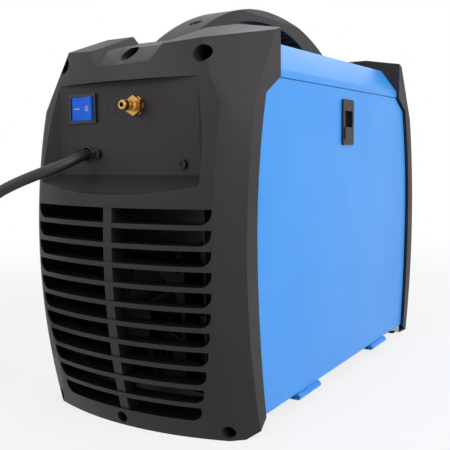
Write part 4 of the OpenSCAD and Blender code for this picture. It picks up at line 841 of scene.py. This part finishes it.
@dataclass
class Studio:
    """A plain white floor, soft lamps and a pale surround."""

    floor_size: float = 60.0
    floor_tone: float = 0.86
    floor_glow: tuple[float, float] = (0.80, 1.0)
    glow_reach: tuple[float, float] = (0.45, 1.3)
    surround: float = 0.26
    lamps: tuple[Softbox, ...] = (
        Softbox("lamp_door_side", (-1.9, 0.35, 1.15), (-0.1, 0.0, 0.18), 26.0, 1.5),
        Softbox("lamp_rear_left", (0.9, 1.9, 1.3), (0.0, 0.2, 0.16), 9.0, 1.2),
        Softbox("lamp_above", (-0.2, 0.1, 2.2), (0.0, 0.0, 0.2), 8.0, 1.6),
        Softbox("lamp_front", (0.5, -2.0, 1.4), (0.0, -0.1, 0.16), 10.0, 1.4),
    )

    def build(self) -> None:
        """Makes the floor, the lamps, the surround and the view settings."""
        half = self.floor_size / 2
        data = bpy.data.meshes.new("studio_floor")
        corners = [(-half, -half, 0), (half, -half, 0), (half, half, 0), (-half, half, 0)]
        data.from_pydata(corners, [], [(0, 1, 2, 3)])
        floor = bpy.data.objects.new("studio_floor", data)
        bpy.context.scene.collection.objects.link(floor)
        data.materials.append(self.floor_material())
        for lamp in self.lamps:
            lamp.build()
        world = bpy.data.worlds.new("studio_surround")
        bpy.context.scene.world = world
        world.use_nodes = True
        bench = NodeBench(world.node_tree)
        backdrop = world.node_tree.nodes["Background"]
        lit = bench.maths("ADD", bench.times(self.seen(bench), 1.0 - self.surround), self.surround)
        bench.feed(backdrop.inputs["Strength"], lit)
        bench.feed(backdrop.inputs["Color"], (1.0, 1.0, 1.0))
        bpy.context.scene.view_settings.view_transform = "Standard"

    @staticmethod
    def seen(bench: NodeBench) -> Socket:
        """1 for rays straight from the camera, and through or off glossy pieces."""
        rays = bench.add("ShaderNodeLightPath")
        first = bench.maths("MAXIMUM", rays.outputs["Is Camera Ray"], rays.outputs["Is Glossy Ray"])
        return bench.maths("MAXIMUM", first, rays.outputs["Is Transmission Ray"])

    def floor_material(self) -> Material:
        """Matte white paint that the camera sees a little brighter, with its shadow kept."""
        work = MaterialBench("studio_floor")
        bench = work.bench
        work.set(Base_Color=(self.floor_tone,) * 3, Roughness=0.9, Specular_IOR_Level=0.1)
        away = bench.add("ShaderNodeVectorMath", {0: bench.place()}, operation="LENGTH").outputs["Value"]
        fade = bench.remap(away, (*self.glow_reach, *self.floor_glow), interpolation_type="SMOOTHSTEP")
        glow = bench.add("ShaderNodeEmission").outputs[0]
        mix = bench.add("ShaderNodeMixShader",
                        {0: bench.times(self.seen(bench), fade), 1: work.shader.outputs[0], 2: glow})
        bench.feed(bench.tree.nodes["Material Output"].inputs["Surface"], mix.outputs[0])
        return work.material


# ---------------- sub-assemblies


@dataclass
class Assembly:
    """A sub-assembly: the looks of its frame nodes, and the pieces that it adds to them."""

    shop: MeshShop
    dresser: FrameDresser
    looks: ClassVar[Looks]

    def build(self) -> None:
        """Dresses the nodes, then adds the pieces."""
        for finish, widths in self.looks.items():
            for name, width in widths.items():
                self.dresser.dress(name, finish, width)
        self.add_pieces()

    def add_pieces(self) -> None:
        """Adds the assembly's own pieces, where it has any."""


@dataclass
class MainsLead(Assembly):
    """The mains lead from its bush to the plug, with its coil on the floor."""

    diameter: float = 9.5
    route: tuple[Point, ...] = (
        (46, 205, 238), (46, 213, 238), (46, 221, 237.2), (46.8, 230, 234.4), (50.3, 240, 230.1),
        (57, 250, 225.5), (64.5, 258, 221.6), (73, 265, 217.3), (84, 271, 212), (97, 276, 205),
        (111, 280, 195), (124, 284, 181), (136, 288, 162), (146, 291, 138), (154, 294, 112), (162, 296, 86),
        (171, 299, 60), (184, 302, 37), (202, 304, 19), (222, 305, 9), (240, 305, 6.35), (250, 305, 6.35))
    coil_radius: float = 62.0
    turns_in: float = 2.5
    turns_out: float = 2.75
    ramp: float = 0.25
    pitch: float = 10.1
    floor_height: float = 6.35
    plug_height: float = 19.1
    ring_steps: int = 24
    rib_bore: float = 6.4
    rib_root: float = 7.4
    rib_crest: float = 8.3
    rib_growth: float = 0.09
    rib_pitch: float = 5.6
    rib_start: float = 2.0
    rib_length: float = 2.9
    rib_slope: float = 0.7
    rib_count: int = 5
    looks = {
        "fitting_black": {"lead_tie": 0.4, "plug_body": 0.5},
        "cable_brass": {"plug_pins": 0.2},
    }

    @staticmethod
    def ease(t: float) -> float:
        """0 to 1 with a soft start and end."""
        c = max(0.0, min(1.0, t))
        return c * c * (3 - 2 * c)

    def coil(self) -> list[Point]:
        """Centreline of the coil: in on the floor, out again a layer higher, then up to the plug."""
        cx, cy = self.route[-1][0] + self.diameter, self.route[-1][1] - self.coil_radius
        turns = self.turns_in + self.turns_out
        climb = self.plug_height - self.floor_height - self.pitch
        points = []
        for i in range(round(turns * self.ring_steps) + 1):
            t = i / self.ring_steps
            radius = self.coil_radius - self.pitch * (t if t < self.turns_in else 2 * self.turns_in - t)
            angle = math.radians(90 - 360 * t)
            layer = self.ease((t - self.turns_in + self.ramp) / (2 * self.ramp))
            end = self.ease((t - turns + self.ramp) / self.ramp)
            height = self.floor_height + self.pitch * layer + climb * end
            points.append((cx + radius * math.cos(angle), cy + radius * math.sin(angle), height))
        x, y, z = points[-1]
        return [*points, (x, y - self.diameter, z)]

    @staticmethod
    def refined(points: Sequence[Point], steps: int) -> list[Point]:
        """Adds points between the given ones, on one smooth curve through them all.

        Args:
            points: The given points.
            steps: Steps from each point to the next.

        Returns:
            The points of the curve.
        """
        path = [Vector(p) for p in points]
        out = []
        for i in range(len(path) - 1):
            a, b = path[max(i - 1, 0)], path[i]
            c, d = path[i + 1], path[min(i + 2, len(path) - 1)]
            for k in range(steps):
                t = k / steps
                out.append(0.5 * ((2 * b) + (c - a) * t + (2 * a - 5 * b + 4 * c - d) * t * t
                                  + (3 * b - a - 3 * c + d) * t ** 3))
        out.append(path[-1])
        return [tuple(p) for p in out]

    def rib(self, k: int) -> Mesh:
        """Ring number k of the plug's sleeve, with sloped shoulders."""
        grown, low = self.rib_growth * k, self.rib_pitch * k + self.rib_start
        root, crest, high = self.rib_root + grown, self.rib_crest + grown, low + self.rib_length
        return self.shop.lathe([(root, low), (crest, low + self.rib_slope), (crest, high - self.rib_slope),
                                (root, high), (self.rib_bore, high), (self.rib_bore, low), (root, low)], 32)

    def add_pieces(self) -> None:
        points = self.refined([*self.route, *self.coil()], 3)
        mesh = self.shop.tube(points, self.diameter / 2, 20)
        cord = self.shop.hand_over("mains_cord", mesh, "cable_rubber", "case", "rubber_black", 60.0)
        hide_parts("mains_lead", "lead_coil")
        sleeve = Matrix.Translation(points[-1]) @ Matrix.Rotation(math.radians(90), 4, "X")
        rings = self.shop.merge([self.shop.moved(self.rib(k), sleeve) for k in range(self.rib_count)])
        ribs = self.shop.hand_over("plug_sleeve_ribs", rings, "fitting_black", "case", "rubber_black")


class Casing(Assembly):
    """End panels, cover, tray, divider, handle and their screws."""

    looks = {
        "louvred_black": {"rear_panel": 0.9, "front_panel": 0.9},
        "moulded_black": {"handle": 1.0},
        "blue_coat": {"cover": 0.6},
        "shade_painted_tray": {"base_tray": 0.4},
        "shade_painted_divider": {"divider_panel": 0.4},
        "dark_screw": {"handle_screws": 0.25, "rear_panel_screws": 0.25, "front_panel_screws": 0.25,
                       "clamp_screws": 0.25},
    }


class SideDoor(Assembly):
    """The blue door, its hinges and its latch."""

    looks = {
        "blue_coat": {"side_door": 0.6},
        "hinge_blue": {"door_knuckles": 0.4, "hinge_brackets": 0.4},
        "hinge_pin_shade": {"hinge_pins": 0.3},
        "moulded_black": {"latch_plate": 0.6, "latch_slider": 0.4},
    }


@dataclass
class RearFittings(Assembly):
    """Mains switch, its marks, gas inlet, bush and clamp."""

    pivot: Point = (48.3, 215.0, 278.0)
    tilt: float = -7.0
    half_width: float = 12.55
    rise: float = 3.4
    wing: float = 1.3
    mark_x: float = 6.6
    mark_span: tuple[float, float] = (-0.05, 0.12)
    bar: tuple[float, float] = (6.4, 1.1)
    ring: tuple[float, float] = (2.45, 1.35)
    looks = {
        "fitting_black": {"mains_switch_body": 0.7},
        "rocker_blue": {"switch_rocker": 0.5},
        "cable_rubber": {"cable_grommet": 0.3, "gas_hose": 0.0},
        "zinc_sheet": {"cable_clamp": 0.3},
        "turned_brass": {"gas_inlet_barb": 0.2, "gas_inlet_nut": 0.5},
        "motor_coat": {"gas_valve": 0.5},
    }

    def face(self, side: int) -> Matrix:
        """Matrix from a mark's flat drawing to the rocker's face on one side of its ridge."""
        height = self.rise + self.wing * self.mark_x / self.half_width
        lean = math.atan2(self.wing, self.half_width)
        return (Matrix.Translation(self.pivot) @ Matrix.Rotation(math.radians(self.tilt), 4, "Z")
                @ Matrix.Translation((side * self.mark_x, height, 0))
                @ Matrix.Rotation(side * lean, 4, "Z") @ Matrix.Rotation(math.radians(-90), 4, "X"))

    def add_pieces(self) -> None:
        """Adds the rocker's two marks."""
        low, high = self.mark_span
        x, y = self.bar[0] / 2, self.bar[1] / 2
        outer, inner = self.ring
        bar = self.shop.block((-x, -y, low), (x, y, high))
        ring = self.shop.lathe([(inner, low), (inner, high), (outer, high), (outer, low), (inner, low)], 40)
        for name, mark, side, bevel in (("rocker_mark_on", bar, 1, 0.05), ("rocker_mark_off", ring, -1, 0.0)):
            placed = self.shop.moved(mark, self.face(side))
            self.shop.hand_over(name, placed, "mark_white", "rocker", "rocker_blue", bevel=bevel)


@dataclass(frozen=True)
class ChipRow:
    """A row of small blocks along Y on the board, every other one set aside."""

    start: tuple[float, float]
    size: Point
    pitch: float
    count: int
    aside: float = 0.0

    def blocks(self, floor: float) -> list[Mesh]:
        """The row's blocks, standing on a floor of that height."""
        out = []
        for k in range(self.count):
            low = (self.start[0] + self.aside * (k % 2), self.start[1] + self.pitch * k, floor)
            out.append(MeshShop.block(low, tuple(a + b for a, b in zip(low, self.size))))
        return out


@dataclass
class PowerStage(Assembly):
    """Fan, heat sink, board and what stands on the board."""

    board_top: float = 81.6
    rows: tuple[ChipRow, ...] = (
        ChipRow((74, -70), (10, 7, 3.2), 11, 7, 4),
        ChipRow((-16, 60), (7, 6, 4), 9, 6))
    looks = {
        "shadow_painted_black": {"fan_frame": 0.5, "fan_rotor": 0.4},
        "extruded_alloy": {"heatsink": 0.2},
        "circuit_board": {"power_board": 0.0},
        "wound_copper": {"transformer": 0.8, "output_choke": 1.5},
        "can_sleeve": {"capacitors": 1.0},
    }

    def add_pieces(self) -> None:
        """Adds small parts to the board."""
        chips = self.shop.merge([block for row in self.rows for block in row.blocks(self.board_top)])
        self.shop.hand_over("board_chips", chips, "board_part", "case", "part_black", bevel=0.3)


@dataclass
class WireFeeder(Assembly):
    """Feeder body, motor, rollers, pressure arm and spool hub."""

    spring_foot: Point = (-74.0, -125.0, 147.9)
    spring_rise: float = 3.3
    spring_radius: float = 4.6
    spring_turns: float = 2.5
    turn_steps: int = 24
    wire: float = 0.45
    looks = {
        "fitting_black": {"feeder_body": 0.6, "roller_screw": 0.6, "pressure_arm": 0.5, "tension_knob": 0.5,
                          "spool_hub": 0.6},
        "motor_coat": {"feed_motor": 0.6},
        "cable_brass": {"wire_guides": 0.2},
        "turned_steel": {"drive_roller": 0.3, "idler_roller": 0.3, "idler_axle": 0.3, "spool_spindle": 0.3},
        "retainer_red": {"hub_retainer": 0.6},
    }

    def add_pieces(self) -> None:
        """Adds the pressure arm's spring."""
        x, y, z = self.spring_foot
        steps = round(self.spring_turns * self.turn_steps)
        coil = []
        for k in range(steps + 1):
            angle = 2 * math.pi * k / self.turn_steps
            coil.append((x + self.spring_radius * math.cos(angle), y + self.spring_radius * math.sin(angle),
                         z + self.spring_rise * k / steps))
        spring = self.shop.tube(coil, self.wire, 10)
        self.shop.hand_over("tension_spring", spring, "spring_steel", "arm", "steel", 60.0)


@dataclass
class FrontFittings(Assembly):
    """Control fascia, display, knobs, buttons and the output connections."""

    fascia_y: float = -219.0
    knobs: ClassVar[dict[str, float]] = {"right": 42.0, "left": -42.0}
    knob_z: float = 240.0
    ticks: int = 11
    tick_turn: float = 30.0
    tick: tuple[Point, Point] = ((-0.35, -0.15, 15.5), (0.35, 0.05, 18.2))
    pointer: tuple[Point, Point] = ((-0.6, -234.95, 3.2), (0.6, -234.3, 10.6))
    lit_y: tuple[float, float] = (-218.72, -218.55)
    display_z: float = 280.0
    readings: tuple[tuple[float, str], ...] = ((-16.0, "120"), (16.0, "205"))
    digit: tuple[float, float, float] = (5.4, 10.0, 7.6)
    stroke: float = 0.5
    gap: float = 0.7
    segments: ClassVar[dict[str, str]] = {"0": "abcdef", "1": "bc", "2": "abged", "5": "afgcd"}
    looks = {
        "motor_coat": {"control_fascia": 0.3},
        "smoked_window": {"display_window": 0.3},
        "circuit_board": {"control_board": 0.0},
        "cable_brass": {"torch_socket": 0.4, "socket_contacts": 0.2},
        "fitting_black": {"output_sockets": 0.6, "knob_left": 0.5, "knob_right": 0.5, "button_left": 0.5,
                          "button_middle": 0.5, "button_right": 0.5},
    }

    def add_pieces(self) -> None:
        """Adds digits, scales and pointers."""
        self.light_display()
        self.mark_knobs()

    def light_display(self) -> None:
        """Adds two rows of lit digits, each of flat segments, to the display window."""
        width, height, pitch = self.digit
        w, h = width / 2, height / 4
        bars = {"a": (0, 2 * h, True), "b": (w, h, False), "c": (w, -h, False), "d": (0, -2 * h, True),
                "e": (-w, -h, False), "f": (-w, h, False), "g": (0, 0, True)}
        front, back = self.lit_y
        lit = []
        for middle, digits in self.readings:
            for place, digit in enumerate(digits):
                for letter in self.segments[digit]:
                    dx, dz, level = bars[letter]
                    x, z = middle + pitch * (place - 1) + dx, self.display_z + dz
                    a, b = (w - self.gap, self.stroke) if level else (self.stroke, h - self.gap)
                    lit.append(self.shop.block((x - a, front, z - b), (x + a, back, z + b)))
        self.shop.hand_over("display_digits", self.shop.merge(lit), "lit_digit", "case", "retainer_red")

    def mark_knobs(self) -> None:
        """Lays a white pointer into each knob's groove and a scale around each knob."""
        scales = []
        for side, x in self.knobs.items():
            bar = self.shop.moved(self.shop.block(*self.pointer), Matrix.Translation((x, 0, self.knob_z)))
            self.shop.hand_over(f"pointer_{side}", bar, "mark_white", f"dial_{side}", "tie_white", bevel=0.1)
            for k in range(self.ticks):
                angle = math.radians(self.tick_turn * (k - self.ticks // 2))
                turn = Matrix.Translation((x, self.fascia_y, self.knob_z)) @ Matrix.Rotation(angle, 4, "Y")
                scales.append(self.shop.moved(self.shop.block(*self.tick), turn))
        self.shop.hand_over("knob_scales", self.shop.merge(scales), "mark_white", "case", "tie_white")


def main() -> None:
    """Builds camera, studio, lead and every sub-assembly over the frame."""
    logging.basicConfig(level=logging.INFO, format="%(name)s: %(message)s")
    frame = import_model()
    ViewCamera().build()
    Studio().build()
    paint = Paintbox()
    shop = MeshShop(paint)
    dresser = FrameDresser(frame["nodes"], paint)
    for kind in (MainsLead, Casing, SideDoor, RearFittings, PowerStage, WireFeeder, FrontFittings):
        kind(shop, dresser).build()
        LOG.info("%s is done", kind.__name__)


if __name__ == "__main__":
    main()
